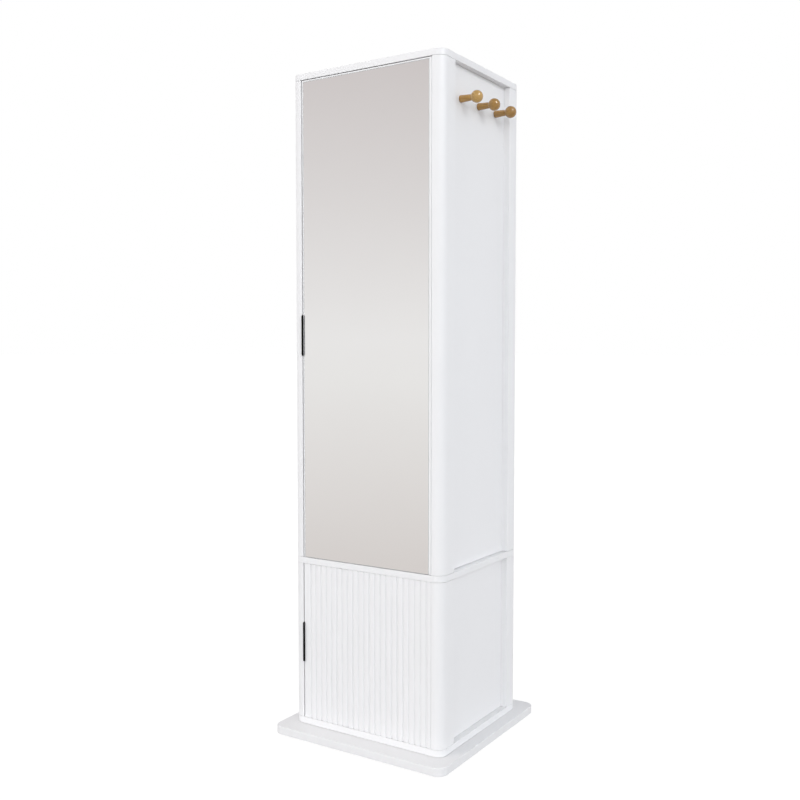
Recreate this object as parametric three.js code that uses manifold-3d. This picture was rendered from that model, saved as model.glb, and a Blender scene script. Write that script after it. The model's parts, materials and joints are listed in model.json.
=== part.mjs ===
// A revolving wardrobe cabinet: a slim two-door cabinet that turns on a flat base plate.
// The upper door carries a full-height mirror, the lower door is fluted, and wooden coat
// pegs stand out of both sides. Units are millimetres, +Z is up and the front faces -Y.
// The origin is on the floor, on the axis that the cabinet turns about.
import * as THREE from 'three';
import { mergeVertices } from 'three/addons/utils/BufferGeometryUtils.js';
import Module from 'manifold-3d';

const wasm = await Module();
wasm.setup();

// Clearances that many pieces share, how far a cutter runs past what it cuts, and how close
// two corners lie when they count as one
const seam = 0.3;
const overrun = 5;
const weldTolerance = 1e-4;

// Cabinet body
const cabinetWidth = 450;
const cabinetDepth = 407;
const cabinetHeight = 1688;
const cornerRadius = 24;
const boardThickness = 16;
const lowerBayHeight = 410;
const postWidth = 30;
const postDepth = 60;
const panelThickness = 12;
const panelRecess = 16;

// Base plate and its feet
const baseWidth = 518;
const baseDepth = 511;
const baseThickness = 22;
const baseCornerRadius = 33;
const padRadius = 22;
const padHeight = 3;
const padInset = 45;
const turnGap = 2;

// Ring bearing between the base plate and the cabinet
const bearingRadius = 140;
const ringWidth = 18;
const ringSplit = 4;
const bearingPocketDepth = 3.5;
const pocketClearance = 1;
const ringLift = 1.2;
const ballRadius = 2.6;
const raceClearance = 0.6;
const ballCount = 14;
const cageThickness = 1.4;
const cageHeight = 3;

// Doors
const doorThickness = 18;
const doorGapHinge = 1.5;
const doorGapPull = 3.5;
const doorGapTop = 2;
const doorGapBottom = 1.5;
const mirrorThickness = 3;
const mirrorMarginSide = 5.5;
const mirrorMarginTop = 3.5;
const fluteCount = 22;
const fluteWidth = 4.4;
const fluteDepth = 1.6;
const fluteMarginPull = 20;
const fluteMarginHinge = 11;

// Edge pulls, one on each door
const pullLength = 105;
const pullSheet = 1.5;
const pullLip = 2.9;
const pullReach = 5.4;
const pullFlange = 14;
const upperPullRise = 525;
const lowerPullRise = 148;

// Concealed hinges
const cupRadius = 17.5;
const cupEdge = 5;
const cupSheet = 1.5;
const cupWall = 3.4;
const cupFlangeThickness = 1.3;
const cupFlangeLength = 62;
const cupFlangeWidth = 16;
const crankWidth = 10;
const crankThickness = 4;
const crankRise = 9;
const crankGap = 2;
const crankPinHeight = 3;
const armHeight = 10.5;
const armWidth = 14;
const armPlateThickness = 2.5;
const armPlateLength = 50;
const armPlateWidth = 16;
const armClearance = 1.5;
const upperHingeEndInset = 95;
const lowerHingeEndInset = 75;

// Magnetic catches and the steel plates that they hold
const catchLength = 46;
const catchWidth = 14;
const catchDepth = 18;
const strikeLength = 40;
const strikeWidth = 13;
const strikeThickness = 1.5;
const catchDrop = 60;

// Coat pegs
const pegPitch = 91;
const pegDrop = 95;
const pegsPerSide = 3;
const pegReach = 45;
const pegBallRadius = 15;
const pegRootRadius = 9;
const pegNeckRadius = 7.5;
const pegTenonRadius = 4;
const pegTenonWall = 2.5;

// Hanging rail inside the upper bay
const railRadius = 12.5;
const railWall = 1.2;
const railDrop = 62;
const socketFlangeRadius = 22;
const socketFlangeThickness = 3;
const socketDepth = 13;
const socketWall = 2.5;

// Shelf inside the lower bay and the pins that carry it
const shelfThickness = 15;
const shelfRise = 196;
const shelfClearance = 1;
const shelfSetback = 24;
const pinRadius = 2.5;
const pinReach = 9;
const pinHoleDepth = 8;
const pinHoleClearance = 0.3;
const pinInset = 12;

// Facets of round stretches
const cornerSteps = 8;
const ringSteps = 48;
const cageSteps = 2 * ballCount;
const raceSteps = 4;
const ballSteps = 8;
const pegSteps = 20;
const roundSteps = 24;
const holeSteps = 12;

// Heights and places worked out from the sizes above
const baseTop = padHeight + baseThickness;
const cabinetFloor = baseTop + turnGap;
const lowerBayBottom = boardThickness;
const lowerBayTop = lowerBayBottom + lowerBayHeight;
const upperBayBottom = lowerBayTop + boardThickness;
const upperBayTop = cabinetHeight - boardThickness;
const upperBayHeight = upperBayTop - upperBayBottom;
const halfWidth = cabinetWidth / 2;
const halfDepth = cabinetDepth / 2;
const postInner = halfWidth - postWidth;
const panelOuter = halfWidth - panelRecess;
const panelInner = panelOuter - panelThickness;
const backPanelOuter = halfDepth - panelRecess;
const backPanelInner = backPanelOuter - panelThickness;
const clearHalfWidth = Math.min(postInner, panelInner);
const doorWidth = 2 * postInner - doorGapHinge - doorGapPull;
const upperDoorHeight = upperBayHeight - doorGapTop - doorGapBottom;
const lowerDoorHeight = lowerBayHeight - doorGapTop - doorGapBottom;
const hingeLineX = postInner - doorGapHinge;
const mirrorPocketDepth = mirrorThickness + seam;
const cupBoreDepth = doorThickness - mirrorPocketDepth - cupWall;
const cupCentreX = -cupEdge - cupRadius;
const armFaceX = doorGapHinge - seam - armHeight;

const whiteLacquer = new THREE.MeshStandardMaterial({ color: 0xf2f2f3, roughness: 0.45, metalness: 0 });
const whiteBase = new THREE.MeshStandardMaterial({ color: 0xeeeef0, roughness: 0.5, metalness: 0 });
const mirrorFinish = new THREE.MeshStandardMaterial({ color: 0xd8dadc, roughness: 0.02, metalness: 1 });
const blackMetal = new THREE.MeshStandardMaterial({ color: 0x14161a, roughness: 0.4, metalness: 0.7 });
const beech = new THREE.MeshStandardMaterial({ color: 0xb88f52, roughness: 0.42, metalness: 0 });
const nickel = new THREE.MeshStandardMaterial({ color: 0xb9babc, roughness: 0.3, metalness: 1 });
const bearingSteel = new THREE.MeshStandardMaterial({ color: 0xa4a7aa, roughness: 0.35, metalness: 1 });
const whitePlastic = new THREE.MeshStandardMaterial({ color: 0xe6e6e4, roughness: 0.55, metalness: 0 });
const greyFelt = new THREE.MeshStandardMaterial({ color: 0x55575a, roughness: 0.95, metalness: 0 });

// Turns a closed geometry into a solid that can be cut and joined
function toSolid(geometry) {
  const bare = geometry.clone();
  bare.deleteAttribute('normal');
  bare.deleteAttribute('uv');
  const merged = mergeVertices(bare, weldTolerance);
  const vertProperties = new Float32Array(merged.attributes.position.array);
  const triVerts = new Uint32Array(merged.index.array);
  return new wasm.Manifold(new wasm.Mesh({ numProp: 3, vertProperties, triVerts }));
}

// Turns a solid back into a geometry
function toGeometry(solid) {
  const mesh = solid.getMesh();
  const geometry = new THREE.BufferGeometry();
  geometry.setAttribute('position', new THREE.BufferAttribute(new Float32Array(mesh.vertProperties), 3));
  geometry.setIndex(new THREE.BufferAttribute(new Uint32Array(mesh.triVerts), 1));
  geometry.computeVertexNormals();
  return geometry;
}

function cut(geometry, cutters) {
  let solid = toSolid(geometry);
  for (const cutter of cutters) {
    solid = solid.subtract(toSolid(cutter));
  }
  return toGeometry(solid);
}

function join(geometries) {
  let solid = toSolid(geometries[0]);
  for (const geometry of geometries.slice(1)) {
    solid = solid.add(toSolid(geometry));
  }
  return toGeometry(solid);
}

function piece(name, geometry, material) {
  const mesh = new THREE.Mesh(geometry, material);
  mesh.name = name;
  return mesh;
}

// A box given by its lowest and highest corners
function block(low, high) {
  const size = high.map((value, axis) => value - low[axis]);
  const geometry = new THREE.BoxGeometry(size[0], size[1], size[2]);
  const centre = high.map((value, axis) => (value + low[axis]) / 2);
  return geometry.translate(centre[0], centre[1], centre[2]);
}

function arcPoints(centreX, centreY, radius, startTurn, endTurn, steps) {
  const points = [];
  for (let step = 0; step <= steps; step += 1) {
    const turn = 2 * Math.PI * (startTurn + (endTurn - startTurn) * (step / steps));
    points.push(new THREE.Vector2(centreX + radius * Math.cos(turn), centreY + radius * Math.sin(turn)));
  }
  return points;
}

// A flat outline in X and Y, raised from one height to another
function raise(points, bottom, top) {
  const shape = new THREE.Shape(points);
  const geometry = new THREE.ExtrudeGeometry(shape, { depth: top - bottom, bevelEnabled: false });
  return geometry.translate(0, 0, bottom);
}

function roundedOutline(width, depth, radius) {
  const x = width / 2 - radius;
  const y = depth / 2 - radius;
  return [
    ...arcPoints(x, y, radius, 0, 0.25, cornerSteps),
    ...arcPoints(-x, y, radius, 0.25, 0.5, cornerSteps),
    ...arcPoints(-x, -y, radius, 0.5, 0.75, cornerSteps),
    ...arcPoints(x, -y, radius, 0.75, 1, cornerSteps),
  ];
}

// A closed profile of radius and height, turned about the Z axis
function turned(profile, steps) {
  const points = profile.map(([radius, height]) => new THREE.Vector2(radius, height));
  if (THREE.ShapeUtils.isClockWise(points)) {
    points.reverse();
  }
  return new THREE.LatheGeometry([...points, points[0]], steps).rotateX(Math.PI / 2);
}

function cylinder(radius, bottom, top, steps) {
  return turned([[0, bottom], [radius, bottom], [radius, top], [0, top]], steps);
}

// The ring-shaped space that the bearing stands in, as a cutter
function bearingPocket(bottom, top) {
  const inner = bearingRadius - ringSplit / 2 - ringWidth - pocketClearance;
  const outer = bearingRadius + ringSplit / 2 + ringWidth + pocketClearance;
  return turned([[inner, bottom], [outer, bottom], [outer, top], [inner, top]], ringSteps);
}

function makeBasePlate() {
  const plate = raise(roundedOutline(baseWidth, baseDepth, baseCornerRadius), padHeight, baseTop);
  const pocket = bearingPocket(baseTop - bearingPocketDepth, baseTop + overrun);
  return piece('base_plate', cut(plate, [pocket]), whiteBase);
}

function makeFootPads() {
  const pads = [];
  for (const [depthName, sideY] of [['front', -1], ['rear', 1]]) {
    for (const [widthName, sideX] of [['left', -1], ['right', 1]]) {
      const geometry = cylinder(padRadius, 0, padHeight - seam, roundSteps);
      const pad = piece(`foot_pad_${depthName}_${widthName}`, geometry, greyFelt);
      pad.position.set(sideX * (baseWidth / 2 - padInset), sideY * (baseDepth / 2 - padInset), 0);
      pads.push(pad);
    }
  }
  return pads;
}

// A bearing ring: its flat face towards the balls holds half of the race
function bearingRing(side, bottom, top) {
  const face = bearingRadius + (side * ringSplit) / 2;
  const back = face + side * ringWidth;
  const middle = baseTop + turnGap / 2;
  const raceRadius = ballRadius + raceClearance;
  const halfChord = Math.sqrt(raceRadius ** 2 - (ringSplit / 2) ** 2);
  const spread = Math.atan2(halfChord, ringSplit / 2) / (2 * Math.PI);
  const centreTurn = side > 0 ? 0 : 0.5;
  const lowTurn = centreTurn - side * spread;
  const highTurn = centreTurn + side * spread;
  const race = arcPoints(bearingRadius, middle, raceRadius, lowTurn, highTurn, raceSteps);
  const racePairs = race.map((point) => [point.x, point.y]);
  return turned([[back, bottom], [face, bottom], ...racePairs, [face, top], [back, top]], ringSteps);
}

function makeBearingRings() {
  const pocketFloor = baseTop - bearingPocketDepth;
  const pocketRoof = cabinetFloor + bearingPocketDepth;
  const inner = bearingRing(-1, pocketFloor + seam, pocketRoof - ringLift);
  const outer = bearingRing(1, pocketFloor + ringLift, pocketRoof - seam);
  return {
    inner: piece('bearing_inner_ring', inner, bearingSteel),
    outer: piece('bearing_outer_ring', outer.translate(0, 0, -cabinetFloor), bearingSteel),
  };
}

// The cage is a thin ring with the bearing balls held in it
function makeBallCage() {
  const middle = baseTop + turnGap / 2;
  const inner = bearingRadius - cageThickness / 2;
  const outer = bearingRadius + cageThickness / 2;
  const low = middle - cageHeight / 2;
  const high = middle + cageHeight / 2;
  const parts = [turned([[inner, low], [outer, low], [outer, high], [inner, high]], cageSteps)];
  for (let index = 0; index < ballCount; index += 1) {
    const turn = (2 * Math.PI * index) / ballCount;
    const ball = new THREE.SphereGeometry(ballRadius, ballSteps, ballSteps / 2).rotateX(Math.PI / 2);
    parts.push(ball.translate(bearingRadius * Math.cos(turn), bearingRadius * Math.sin(turn), middle));
  }
  return piece('bearing_ball_cage', join(parts), bearingSteel);
}

function makeBoards() {
  const outline = roundedOutline(cabinetWidth, cabinetDepth, cornerRadius);
  const bottom = raise(outline, 0, boardThickness);
  const pocket = bearingPocket(-overrun, bearingPocketDepth);
  return [
    piece('bottom_board', cut(bottom, [pocket]), whiteLacquer),
    piece('mid_board', raise(outline, lowerBayTop, upperBayBottom), whiteLacquer),
    piece('top_board', raise(outline, upperBayTop, cabinetHeight), whiteLacquer),
  ];
}

// A corner post in plan: square to the inside, round at the outer corner
function postOutline(sideX, sideY) {
  const corner = arcPoints(cornerRadius, cornerRadius, cornerRadius, 0.5, 0.75, cornerSteps);
  const points = [
    ...corner,
    new THREE.Vector2(postWidth, 0),
    new THREE.Vector2(postWidth, postDepth),
    new THREE.Vector2(0, postDepth),
  ];
  return points.map(({ x, y }) => new THREE.Vector2(sideX * (halfWidth - x), sideY * (halfDepth - y)));
}

function pinPlaceY(sideY) {
  return sideY * (halfDepth - postDepth + pinInset);
}

const pinHeight = lowerBayBottom + shelfRise - pinRadius;

function pinHole(sideX, sideY) {
  const depth = pinHoleDepth + overrun;
  const radius = pinRadius + pinHoleClearance;
  const hole = new THREE.CylinderGeometry(radius, radius, depth, holeSteps);
  const centreX = sideX * (postInner + pinHoleDepth - depth / 2);
  return hole.rotateZ(Math.PI / 2).translate(centreX, pinPlaceY(sideY), pinHeight);
}

function makePosts() {
  const posts = [];
  for (const [depthName, sideY] of [['front', -1], ['rear', 1]]) {
    for (const [widthName, sideX] of [['left', -1], ['right', 1]]) {
      const outline = postOutline(sideX, sideY);
      const lower = raise(outline, lowerBayBottom + seam, lowerBayTop - seam);
      const upper = raise(outline, upperBayBottom + seam, upperBayTop - seam);
      const place = `${depthName}_${widthName}`;
      posts.push(piece(`lower_post_${place}`, cut(lower, [pinHole(sideX, sideY)]), whiteLacquer));
      posts.push(piece(`upper_post_${place}`, upper, whiteLacquer));
    }
  }
  return posts;
}

function pegPlaceY(index) {
  return (index - (pegsPerSide - 1) / 2) * pegPitch;
}

const pegHeight = cabinetHeight - pegDrop;
const pegHoleDepth = panelThickness - pegTenonWall;

function pegHole(sideX, placeY) {
  const radius = pegTenonRadius + seam;
  const hole = new THREE.CylinderGeometry(radius, radius, pegHoleDepth + overrun, holeSteps);
  const centreX = sideX * (panelOuter - (pegHoleDepth - overrun) / 2);
  return hole.rotateZ(Math.PI / 2).translate(centreX, placeY, pegHeight);
}

function makePanels() {
  const panels = [];
  const panelReach = halfDepth - postDepth - seam;
  const backReach = postInner - seam;
  const bays = [
    ['lower', lowerBayBottom + seam, lowerBayTop - seam],
    ['upper', upperBayBottom + seam, upperBayTop - seam],
  ];
  for (const [bayName, bottom, top] of bays) {
    for (const [sideName, sideX] of [['left', -1], ['right', 1]]) {
      const near = Math.min(sideX * panelInner, sideX * panelOuter);
      const far = Math.max(sideX * panelInner, sideX * panelOuter);
      let geometry = block([near, -panelReach, bottom], [far, panelReach, top]);
      if (bayName === 'upper') {
        const holes = [];
        for (let index = 0; index < pegsPerSide; index += 1) {
          holes.push(pegHole(sideX, pegPlaceY(index)));
        }
        geometry = cut(geometry, holes);
      }
      panels.push(piece(`${bayName}_side_panel_${sideName}`, geometry, whiteLacquer));
    }
    const back = block([-backReach, backPanelInner, bottom], [backReach, backPanelOuter, top]);
    panels.push(piece(`${bayName}_back_panel`, back, whiteLacquer));
  }
  return panels;
}

// A turned coat peg along +Z, with its shoulder at height zero: tenon, tapered stem and ball
function pegProfile() {
  const neckSpread = Math.asin(pegNeckRadius / pegBallRadius);
  const neckHeight = pegReach - pegBallRadius * Math.cos(neckSpread);
  const tenonLength = pegHoleDepth - seam;
  const ballTurns = arcPoints(0, 0, pegBallRadius, -0.25 + neckSpread / (2 * Math.PI), 0.25, cornerSteps);
  return [
    [0, -tenonLength],
    [pegTenonRadius, -tenonLength],
    [pegTenonRadius, seam],
    [pegRootRadius, seam],
    [pegNeckRadius, neckHeight - seam],
    ...ballTurns.slice(0, -1).map(({ x, y }) => [x, pegReach + y]),
    [0, pegReach + pegBallRadius],
  ];
}

function makePegs() {
  const pegs = [];
  const placeNames = ['front', 'middle', 'rear'];
  for (const [sideName, sideX] of [['left', -1], ['right', 1]]) {
    for (let index = 0; index < pegsPerSide; index += 1) {
      const geometry = turned(pegProfile(), pegSteps).rotateY((sideX * Math.PI) / 2);
      const peg = piece(`coat_peg_${sideName}_${placeNames[index]}`, geometry, beech);
      peg.position.set(sideX * panelOuter, pegPlaceY(index), pegHeight);
      pegs.push(peg);
    }
  }
  return pegs;
}

const railHeight = upperBayTop - railDrop;

function makeRail() {
  const half = panelInner - socketFlangeThickness - 2 * seam;
  const bore = railRadius - railWall;
  const tube = turned([[bore, -half], [railRadius, -half], [railRadius, half], [bore, half]], roundSteps);
  const rail = piece('hanging_rail', tube.rotateY(Math.PI / 2), nickel);
  rail.position.set(0, 0, railHeight);
  return rail;
}

// A rail socket: a flange on the side panel and a short collar round the rail's end
function makeRailSockets() {
  const collarInner = railRadius + seam;
  const collarOuter = collarInner + socketWall;
  const profile = [
    [0, seam],
    [socketFlangeRadius, seam],
    [socketFlangeRadius, socketFlangeThickness],
    [collarOuter, socketFlangeThickness],
    [collarOuter, socketDepth],
    [collarInner, socketDepth],
    [collarInner, socketFlangeThickness],
    [0, socketFlangeThickness],
  ];
  return [['left', -1], ['right', 1]].map(([sideName, sideX]) => {
    const geometry = turned(profile, roundSteps).rotateY((-sideX * Math.PI) / 2);
    const socket = piece(`rail_socket_${sideName}`, geometry, nickel);
    socket.position.set(sideX * panelInner, 0, railHeight);
    return socket;
  });
}

function makeShelf() {
  const reach = clearHalfWidth - shelfClearance;
  const front = -halfDepth + doorThickness + shelfSetback;
  const back = backPanelInner - shelfClearance;
  const bottom = lowerBayBottom + shelfRise + seam;
  const slab = block([-reach, front, bottom], [reach, back, bottom + shelfThickness]);
  return piece('lower_shelf', slab, whiteLacquer);
}

function makeShelfPins() {
  const pins = [];
  for (const [depthName, sideY] of [['front', -1], ['rear', 1]]) {
    for (const [widthName, sideX] of [['left', -1], ['right', 1]]) {
      const length = pinReach + pinHoleDepth - seam;
      const geometry = new THREE.CylinderGeometry(pinRadius, pinRadius, length, holeSteps);
      const pin = piece(`shelf_pin_${depthName}_${widthName}`, geometry.rotateZ(Math.PI / 2), nickel);
      pin.position.set(sideX * (postInner - pinReach + length / 2), pinPlaceY(sideY), pinHeight);
      pins.push(pin);
    }
  }
  return pins;
}

// The fixed half of a hinge: a plate on the post and an arm that runs forward to the door
function hingeArm() {
  const front = -halfDepth + doorThickness + cupFlangeThickness + armClearance;
  const back = -halfDepth + postDepth - armClearance;
  const face = postInner - seam;
  const plateMiddle = (front + back) / 2;
  const plate = block(
    [face - armPlateThickness, plateMiddle - armPlateWidth / 2, -armPlateLength / 2],
    [face, plateMiddle + armPlateWidth / 2, armPlateLength / 2],
  );
  const arm = block(
    [face - armHeight, front, -armWidth / 2],
    [face - armPlateThickness / 2, back, armWidth / 2],
  );
  return join([plate, arm]);
}

// The door's half of a hinge: a cup let into the back of the door, its flange and its crank
function hingeCup() {
  const depth = cupBoreDepth - seam;
  const bore = cupRadius - cupSheet;
  const rim = seam + cupFlangeThickness;
  const outside = [[0, -depth], [cupRadius, -depth], [cupRadius, rim]];
  const inside = [[bore, rim], [bore, cupSheet - depth], [0, cupSheet - depth]];
  const cup = turned([...outside, ...inside], roundSteps);
  const flange = cut(
    block([-cupFlangeWidth / 2, -cupFlangeLength / 2, seam], [cupFlangeWidth / 2, cupFlangeLength / 2, rim]),
    [cylinder(bore + cupSheet / 2, -overrun, overrun, roundSteps)],
  );
  const pinLevel = rim - depth / 2;
  const crankFoot = block(
    [-crankThickness / 2, -crankWidth / 2, pinLevel - crankPinHeight / 2],
    [crankThickness / 2, crankWidth / 2, rim + crankRise],
  );
  const crankHead = block(
    [-crankThickness / 2, -crankWidth / 2, rim + crankRise - crankThickness],
    [armFaceX - crankGap - cupCentreX, crankWidth / 2, rim + crankRise],
  );
  const pin = block(
    [-crankPinHeight / 2, -bore - cupSheet / 2, pinLevel - crankPinHeight / 2],
    [crankPinHeight / 2, bore + cupSheet / 2, pinLevel + crankPinHeight / 2],
  );
  return join([cup, flange, pin, crankFoot, crankHead]).rotateX(-Math.PI / 2);
}

function hingeHeights(doorHeight, endInset, names) {
  const spread = doorHeight - 2 * endInset;
  return names.map((name, index) => [name, endInset + (spread * index) / (names.length - 1)]);
}

const upperHinges = hingeHeights(upperDoorHeight, upperHingeEndInset, ['low', 'middle', 'high']);
const lowerHinges = hingeHeights(lowerDoorHeight, lowerHingeEndInset, ['low', 'high']);
const upperDoorBottom = upperBayBottom + doorGapBottom;
const lowerDoorBottom = lowerBayBottom + doorGapBottom;

function makeHingeArms() {
  const arms = [];
  const doors = [
    ['upper', upperHinges, upperDoorBottom],
    ['lower', lowerHinges, lowerDoorBottom],
  ];
  for (const [doorName, hinges, doorBottom] of doors) {
    for (const [placeName, height] of hinges) {
      const arm = piece(`${doorName}_hinge_arm_${placeName}`, hingeArm(), nickel);
      arm.position.z = doorBottom + height;
      arms.push(arm);
    }
  }
  return arms;
}

// A catch on the left post, just behind the steel plate on the door's back
function makeCatch(name, doorTop) {
  const front = -halfDepth + doorThickness + seam + strikeThickness + seam;
  const face = -postInner + seam;
  const high = doorTop - catchDrop;
  const body = block([face, front, high - catchLength], [face + catchWidth, front + catchDepth, high]);
  return piece(name, body, whitePlastic);
}

function makeStrike(name, doorHeight) {
  const edge = seam - doorWidth;
  const low = doorHeight - catchDrop - (catchLength + strikeLength) / 2;
  const plate = block(
    [edge, doorThickness + seam, low],
    [edge + strikeWidth, doorThickness + seam + strikeThickness, low + strikeLength],
  );
  return piece(name, plate, nickel);
}

// A bent edge pull: a lip in front of the door, a web in the side gap and a flange behind
function makePull(name, rise) {
  const edge = -doorWidth;
  const webIn = edge - seam;
  const webOut = webIn - pullSheet;
  const lipEnd = webOut + pullLip;
  const back = doorThickness + seam;
  const outline = [
    [webOut, -pullReach],
    [lipEnd, -pullReach],
    [lipEnd, -seam],
    [webIn, -seam],
    [webIn, back],
    [edge + pullFlange, back],
    [edge + pullFlange, back + pullSheet],
    [webOut, back + pullSheet],
  ];
  const points = outline.map(([x, y]) => new THREE.Vector2(x, y));
  return piece(name, raise(points, rise, rise + pullLength), blackMetal);
}

function cupBores(hinges) {
  return hinges.map(([, height]) => {
    const radius = cupRadius + seam;
    const bore = new THREE.CylinderGeometry(radius, radius, cupBoreDepth + overrun, roundSteps);
    const centreY = doorThickness - (cupBoreDepth - overrun) / 2;
    return bore.translate(cupCentreX, centreY, height);
  });
}

function makeHingeCups(doorName, hinges) {
  return hinges.map(([placeName, height]) => {
    const cup = piece(`${doorName}_hinge_cup_${placeName}`, hingeCup(), nickel);
    cup.position.set(cupCentreX, doorThickness, height);
    return cup;
  });
}

// The door's origin is the foot of its hinge line, on the front face at the right edge
function makeUpperDoor() {
  const door = new THREE.Group();
  door.position.set(hingeLineX, -halfDepth, upperDoorBottom);
  const left = mirrorMarginSide - doorWidth;
  const top = upperDoorHeight - mirrorMarginTop;
  const slab = block([-doorWidth, 0, 0], [0, doorThickness, upperDoorHeight]);
  const pocket = block([left, -overrun, -overrun], [-mirrorMarginSide, mirrorPocketDepth, top]);
  const panel = cut(slab, [pocket, ...cupBores(upperHinges)]);
  const glass = block([left + seam, 0, 0], [-mirrorMarginSide - seam, mirrorThickness, top - seam]);
  door.add(
    piece('upper_door_panel', panel, whiteLacquer),
    piece('mirror_glass', glass, mirrorFinish),
    makePull('upper_door_pull', upperPullRise),
    makeStrike('upper_strike_plate', upperDoorHeight),
    ...makeHingeCups('upper', upperHinges),
  );
  return door;
}

// The fluted front in plan, from the hinge edge round the back to the pull edge and along the front
function flutedOutline() {
  const pitch = (doorWidth - fluteMarginPull - fluteMarginHinge) / (fluteCount - 1);
  const points = [[0, 0], [0, doorThickness], [-doorWidth, doorThickness], [-doorWidth, 0]];
  for (let index = 0; index < fluteCount; index += 1) {
    const centre = fluteMarginPull - doorWidth + index * pitch;
    points.push([centre - fluteWidth / 2, 0]);
    points.push([centre - fluteWidth / 4, fluteDepth]);
    points.push([centre + fluteWidth / 4, fluteDepth]);
    points.push([centre + fluteWidth / 2, 0]);
  }
  return points.map(([x, y]) => new THREE.Vector2(x, y));
}

function makeLowerDoor() {
  const door = new THREE.Group();
  door.position.set(hingeLineX, -halfDepth, lowerDoorBottom);
  const panel = cut(raise(flutedOutline(), 0, lowerDoorHeight), cupBores(lowerHinges));
  door.add(
    piece('lower_door_panel', panel, whiteLacquer),
    makePull('lower_door_pull', lowerPullRise),
    makeStrike('lower_strike_plate', lowerDoorHeight),
    ...makeHingeCups('lower', lowerHinges),
  );
  return door;
}

const rings = makeBearingRings();

const base = new THREE.Group();
base.add(makeBasePlate(), ...makeFootPads(), rings.inner);

const cabinet = new THREE.Group();
cabinet.position.z = cabinetFloor;
cabinet.add(
  rings.outer,
  ...makeBoards(),
  ...makePosts(),
  ...makePanels(),
  ...makePegs(),
  makeRail(),
  ...makeRailSockets(),
  makeShelf(),
  ...makeShelfPins(),
  ...makeHingeArms(),
  makeCatch('upper_catch', upperDoorBottom + upperDoorHeight),
  makeCatch('lower_catch', lowerDoorBottom + lowerDoorHeight),
  makeUpperDoor(),
  makeLowerDoor(),
);

const wardrobe = new THREE.Group();
wardrobe.add(base, makeBallCage(), cabinet);

export default wardrobe;
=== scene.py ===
"""Models and finishes a revolving wardrobe cabinet round its frame.

Sizes are in metres, +Z is up and the doors face -Y. Each new piece takes its place from the
box of the frame's part that it stands for, and the sizes that a box doesn't give are the
properties below.
"""

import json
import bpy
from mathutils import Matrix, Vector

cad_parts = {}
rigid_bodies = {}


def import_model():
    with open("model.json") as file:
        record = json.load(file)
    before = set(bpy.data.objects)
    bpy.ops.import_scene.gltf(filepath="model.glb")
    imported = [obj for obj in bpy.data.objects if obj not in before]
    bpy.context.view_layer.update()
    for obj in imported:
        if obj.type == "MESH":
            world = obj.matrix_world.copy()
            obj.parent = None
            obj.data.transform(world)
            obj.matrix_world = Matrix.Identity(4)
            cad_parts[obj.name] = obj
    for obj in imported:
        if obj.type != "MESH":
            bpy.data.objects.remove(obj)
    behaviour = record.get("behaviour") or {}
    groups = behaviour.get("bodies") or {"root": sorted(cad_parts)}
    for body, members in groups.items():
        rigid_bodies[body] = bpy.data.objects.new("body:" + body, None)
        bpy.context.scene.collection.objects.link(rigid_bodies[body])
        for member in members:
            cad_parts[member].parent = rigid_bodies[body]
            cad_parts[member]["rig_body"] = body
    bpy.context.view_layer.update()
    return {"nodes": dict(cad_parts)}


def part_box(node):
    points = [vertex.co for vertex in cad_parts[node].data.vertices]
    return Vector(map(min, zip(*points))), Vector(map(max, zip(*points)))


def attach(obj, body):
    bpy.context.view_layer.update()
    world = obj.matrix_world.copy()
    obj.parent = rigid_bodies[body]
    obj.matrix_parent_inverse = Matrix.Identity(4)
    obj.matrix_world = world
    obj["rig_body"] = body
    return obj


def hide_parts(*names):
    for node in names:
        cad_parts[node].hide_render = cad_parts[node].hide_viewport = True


bl_info = {
    "name": "Revolving Wardrobe Cabinet",
    "version": (1, 0, 0),
    "blender": (4, 5, 0),
    "location": "View3D > Sidebar > Wardrobe",
    "description": "Models and finishes a revolving wardrobe cabinet with a mirror door and coat pegs",
    "category": "Object",
}

from math import atan2, cos, pi, radians, sin, sqrt

import bmesh
import bpy
from bpy.props import FloatProperty, FloatVectorProperty, IntProperty, PointerProperty
from mathutils import Vector

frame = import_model()

# Words in the names of the frame's parts, and the names of the hinge cups of each door
CORNERS = ("front_left", "front_right", "rear_left", "rear_right")
SIDES = ("left", "right")
BAYS = ("lower", "upper")
UPPER_CUPS = [f"upper_hinge_cup_{height}" for height in ("low", "middle", "high")]
LOWER_CUPS = [f"lower_hinge_cup_{height}" for height in ("low", "high")]

# How far a cutter runs past what it cuts, and how close two places are that count as one
OVERRUN = 0.005
SAME = 0.00002

# How closely the normal of a face follows the direction that it is said to face
FACING = 0.9

# Edges that turn by more than these angles are eased, and stay sharp to the light
EASED_ANGLE = radians(35)
SHARP_ANGLE = radians(38)

# The direction from the doors to the back, and the turn that brings +Z into it
BACKWARDS = Vector((0, 1, 0))
TOWARDS_BACK = (-pi / 2, 0, 0)

# Where the pegs' tone changes, partly the wood's own tone and partly painted light on the front
# pegs and painted shade on the rear ones: paler towards the front along Y, paler still in the
# front pegs along Y, and in their balls from the cabinet's middle outwards
PALER_TO_FRONT = (-0.1, 0.03)
FRONT_PEGS = (-0.07, -0.05)
BALLS = (0.234, 0.247)

# Heights between which the even light changes from that of the sides to that from above
FILL_CHANGE = (0.15, 0.45)

# Small radii of the fittings
METAL_EDGE = 0.0004
SHEET_EDGE = 0.0003
CRANK_EDGE = 0.0008
COLLAR_EDGE = 0.0005
CATCH_EDGE = 0.0006
POLE_EDGE = 0.0002
FLANGE_CORNER = 0.006
PLATE_CORNER = 0.0065
ARM_CORNER = 0.003
STRIKE_CORNER = 0.002

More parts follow.
